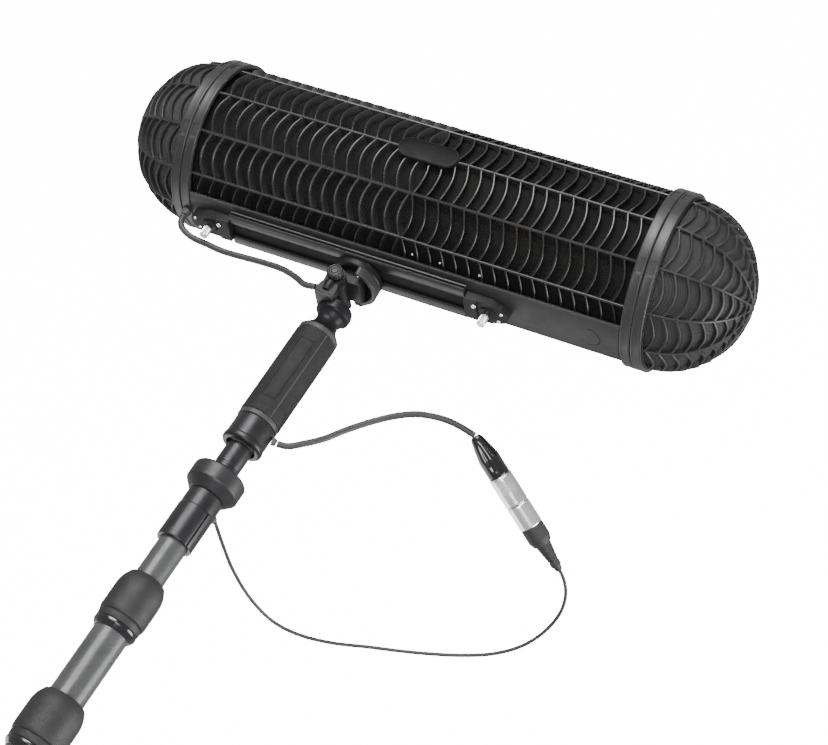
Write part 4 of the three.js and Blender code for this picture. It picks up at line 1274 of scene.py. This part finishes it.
def add_suspension():
    """The microphone in its two sprung rings, and the rail they slide on."""
    along = BLIMP @ ALONG_X
    low = (BLIMP.inverted() @ middle("microphone")).x - MIC_LENGTH / 2
    high = low + MIC_LENGTH
    radius = MIC_R
    mic = Shape("microphone_fine")
    outline = [(0, low), (radius - 0.002, low), (radius, low + 0.002)]
    for k in range(26):
        at = high - 0.165 + 0.0055 * k
        outline += [*near(radius, at, (0, 0), (-0.0012, 0.0004), (-0.0012, 0.0024), (0, 0.0028))]
    outline += [*near(radius, high, (0, -0.006), (-0.001, -0.002), (-0.003, 0)), (0, high)]
    mic.lathe(outline, 72, round_by=0.0002, place=along)
    show(mic, METAL, "microphone")

    rail_top = (BLIMP.inverted() @ middle("inner_rail")).y + 0.002
    for name, at in (("rear", -SUSPENSION_AT), ("front", SUSPENSION_AT)):
        ring = Shape(f"suspension_ring_{name}_fine", BLIMP)
        ring.lathe(sleeve(SUSPENSION_IN, SUSPENSION_R, at - SUSPENSION_HALF, at + SUSPENSION_HALF), 120,
                   round_by=0.001, place=ALONG_X)
        ring.box((at - 0.009, rail_top + GAP, -0.007), (at + 0.009, -0.0462, 0.007))
        show(ring, SATIN, "suspension_ring_" + name, bevel=0.0008)

        band = Shape(f"elastic_band_{name}_fine", BLIMP)
        band.lathe(sleeve(CUFF_IN, CUFF_R, at - CUFF_HALF, at + CUFF_HALF), 60, round_by=0.0006,
                   place=ALONG_X)
        for k in (1, 3, 5, 7):
            turn = k * pi / 4
            route = [on_cage(turn, at, STRAND_FROM + (STRAND_TO - STRAND_FROM) * i / 12) for i in range(13)]
            slack = [point + Vector((0.0006 * sin(pi * i / 12), 0, 0)) for i, point in enumerate(route)]
            band.sweep(carried_frames(slack), circle(STRAND_R, 12))
        show(band, ELASTIC, "elastic_band_" + name)

    half_width, length = INNER_RAIL_HALF_WIDTH, INNER_RAIL_HALF_LENGTH
    rail = Shape("inner_rail_fine", BLIMP)
    rail.prism([(-half_width, rail_top - 0.004),
                *near(half_width, rail_top, (0, -0.004), (0, 0), (-0.002, 0), (-0.0025, -0.001)),
                (-half_width + 0.0025, rail_top - 0.001), (-half_width + 0.002, rail_top),
                (-half_width, rail_top)],
               -length, length, axes="zyx")
    show(rail, METAL, "inner_rail", bevel=0.0003)
    clip = Shape("cable_clip_fine", BLIMP).box((-0.007, rail_top + GAP, -0.005),
                                               (0.003, rail_top + 0.006, 0.005))
    add_extra(clip, ELASTIC, "blimp", "elastic", bevel=0.0012)


# ------------------------------------------------------------------ plugs and reliefs

BOOT_LENGTH = 0.0356
SOCKET_SHELL_LENGTH = 0.0264
PLUG_SHELL_LENGTH = 0.021
PLUG_R = 0.0094
KEY_HALF = 0.0036
SEAM_TURN = radians(262)
SEAM_HALF, SEAM_DEPTH = 0.0006, 0.0004
LATCH_SEAT, LATCH_TOP = 0.0012, 0.0027    # above the shell; it has 1 mm of travel below it


def plug_place():
    along = (PLUG_TO - PLUG_FROM).normalized()
    turn = Vector((0, 1, 0)).rotation_difference(along)
    return Matrix.Translation(PLUG_FROM) @ turn.to_matrix().to_4x4()


def on_seam(angle):
    """Whether this angle round a plug's shell lies in the seam along it."""
    return abs(remainder(angle - SEAM_TURN, tau)) * PLUG_R < SEAM_HALF


def add_plugs():
    """The two cable plugs and their boots. Returns the pieces on each lead."""
    place = plug_place()
    shell = BOOT_LENGTH + GAP
    joint = BOOT_LENGTH + SOCKET_SHELL_LENGTH
    end = joint + PLUG_SHELL_LENGTH
    total = (PLUG_TO - PLUG_FROM).length - GAP

    def fluted(angle, station):
        share = min(1.0, max(0.0, (station - 0.004) / 0.012))
        share *= min(1.0, max(0.0, (BOOT_LENGTH - 0.004 - station) / 0.006))
        return 0.0011 * share * max(0.0, cos(4 * angle)) ** 3

    boot = Shape("socket_boot_fine", place).lathe([
        (0, 0), (0.0036, 0), (0.0046, 0.0012),
        *[(0.0046 + 0.0042 * (k / 8) ** 0.8, 0.0012 + 0.0188 * k / 8) for k in range(1, 8)],
        *[(0.0088, 0.02 + 0.0019 * k) for k in range(8)], (0.0088, BOOT_LENGTH - 0.0006),
        (0.0082, BOOT_LENGTH), (0, BOOT_LENGTH),
    ], 144, round_by=0.0004, recess=fluted)
    boot = show(boot, GLOSS, "socket_boot")

    def key_groove(angle, station):
        across = abs(remainder(angle, tau)) * PLUG_R
        deep = 0.0009 if across < KEY_HALF and shell + 0.0018 < station < joint - 0.0026 else 0.0
        return max(deep, SEAM_DEPTH if on_seam(angle) and station > shell + 0.001 else 0.0)

    socket = Shape("socket_shell_fine", place).lathe([
        (0, shell),
        *near(PLUG_R, shell, (-0.0004, 0), (-0.0002, 0.0008), (-0.0006, 0.0012), (0, 0.0016), (0, 0.0019)),
        *near(PLUG_R, joint, (0, -0.0026), (0, -0.0022), (0, -0.0006), (-0.0012, -0.0001)), (0, joint),
    ], 180, round_by=0.0002, recess=key_groove)
    socket = show(socket, NICKEL, "socket_shell")

    def side_line(angle, station):
        return SEAM_DEPTH if on_seam(angle) and station < end - 0.001 else 0.0

    plug = Shape("plug_shell_fine", place).lathe([
        (0, joint + GAP), (PLUG_R - 0.0012, joint + GAP), (PLUG_R - 0.0001, joint + GAP + 0.0008),
        (PLUG_R, joint + 0.002), *near(PLUG_R, end, (0, -0.0012), (0, -0.0008), (-0.0004, 0)), (0, end),
    ], 180, round_by=0.0002, recess=side_line)
    plug = show(plug, NICKEL, "plug_shell")

    tail = [*near(PLUG_R, end, (-0.0003, GAP), (0, 0.0012), (0, 0.012), (-0.0014, 0.0165), (-0.003, 0.0175))]
    rings = []
    for k in range(7):
        at = end + 0.0185 + 0.0021 * k
        radius = PLUG_R - 0.0031 - 0.00032 * k
        rings += [*near(radius, at, (0, 0), (0, 0.0013), (-0.0006, 0.0016), (-0.0006, 0.0019))]
    rest = [(0.0044, end + 0.0345), (0.0044, end + 0.0375), (0.0034, end + 0.0385), (0.0026, total),
            (0, total)]
    rubber_boot = Shape("plug_boot_fine", place).lathe([(0, end + GAP), *tail, *rings, *rest], 96,
                                                       round_by=0.0003)
    rubber_boot = show(rubber_boot, RUBBER, "plug_boot")

    latch = Shape("release_latch_fine", place)
    latch.box((PLUG_R + LATCH_SEAT, shell + 0.004, -0.003), (PLUG_R + LATCH_TOP, shell + 0.014, 0.003))
    latch = show(latch, NICKEL, "release_latch", bevel=0.0006)
    return [boot, socket, latch], [rubber_boot, plug]


def add_reliefs():
    """Strain reliefs of the leads; their CAD shapes are right, and they get their rubber here."""
    for node in ("handle_grommet", "tip_grommet", "lead_grommet", "cable_gland"):
        paint(node, RUBBER)


# ------------------------------------------------------------------ stage

FLOOR_BELOW = 0.9
STAGE_HALF = 30
STAGE_TOP = 45
BACKDROP_LIGHT = 14.0         # bright enough to read as white paper in the picture


def add_stage():
    """White paper floor and walls that only the camera sees, and the light of the studio."""
    low, high, half = cad_box[0].z - FLOOR_BELOW, STAGE_TOP, STAGE_HALF
    mesh = bpy.data.meshes.new("floor")
    corners = [(-half, -half), (half, -half), (half, half), (-half, half)]
    vertices = [(x, y, z) for z in (low, high) for x, y in corners]
    faces = [(0, 1, 2, 3)] + [(k, (k + 1) % 4, 4 + (k + 1) % 4, 4 + k) for k in range(4)]
    mesh.from_pydata(vertices, [], faces)
    material = bpy.data.materials.new("white_paper")
    material.use_nodes = True
    shader = material.node_tree.nodes["Principled BSDF"]
    shader.inputs["Base Color"].default_value = (0.93, 0.93, 0.93, 1)
    shader.inputs["Roughness"].default_value = 0.9
    shader.inputs["Emission Color"].default_value = (1, 1, 1, 1)
    shader.inputs["Emission Strength"].default_value = BACKDROP_LIGHT
    mesh.materials.append(material)
    floor = bpy.data.objects.new("floor", mesh)
    floor.visible_diffuse = False
    floor.visible_glossy = False
    floor.visible_shadow = False
    bpy.context.scene.collection.objects.link(floor)
    world = bpy.data.worlds.new("world")
    bpy.context.scene.world = world
    world.use_nodes = True
    world.node_tree.nodes["Background"].inputs["Color"].default_value = (1.0, 1.0, 1.0, 1)
    world.node_tree.nodes["Background"].inputs["Strength"].default_value = WORLD_LIGHT
    for name, place, size, power in LIGHTS:
        add_light(name, Vector(place), size, power)


WORLD_LIGHT = 0.55
# Soft boxes: name, place, side in metres, power in watts
LIGHTS = [
    ("overhead", (-0.5, 1.9, 2.5), 1.6, 130), ("above_camera", (0.9, -0.6, 2.2), 1.3, 75),
    ("right_low", (2.1, 0.9, -0.5), 1.5, 90), ("below_front", (-0.8, 0.1, -0.95), 1.4, 14),
]


def add_light(name, place, size, power):
    data = bpy.data.lights.new(name, "AREA")
    data.shape = "SQUARE"
    data.size = size
    data.energy = power
    light = bpy.data.objects.new(name, data)
    bpy.context.scene.collection.objects.link(light)
    light.location = place
    light.visible_camera = False
    light.rotation_mode = "QUATERNION"
    light.rotation_quaternion = (BLIMP.translation - place).to_track_quat("-Z", "Y")


# ------------------------------------------------------------------ the whole

add_tubes()
add_collar("2")
add_collar("1")
add_butt()
add_tip()
add_handle()
add_fork()
add_shoe()
add_cage("cage_rear", -1)
add_cage("cage_front", 1)
add_lining()
add_base_panel()
add_badge()
for end_name, end_side in (("rear", -1), ("front", 1)):
    add_collars(end_name, end_side)
    add_dome(end_name, end_side)
add_rail()
add_rail_blocks()
add_suspension()
add_reliefs()
socket_pieces, plug_pieces = add_plugs()
nodes = frame["nodes"]
add_handle_lead([nodes["handle_grommet"], *socket_pieces])
add_pole_lead([nodes["tip_grommet"], *plug_pieces])
add_mic_lead()
add_stage()
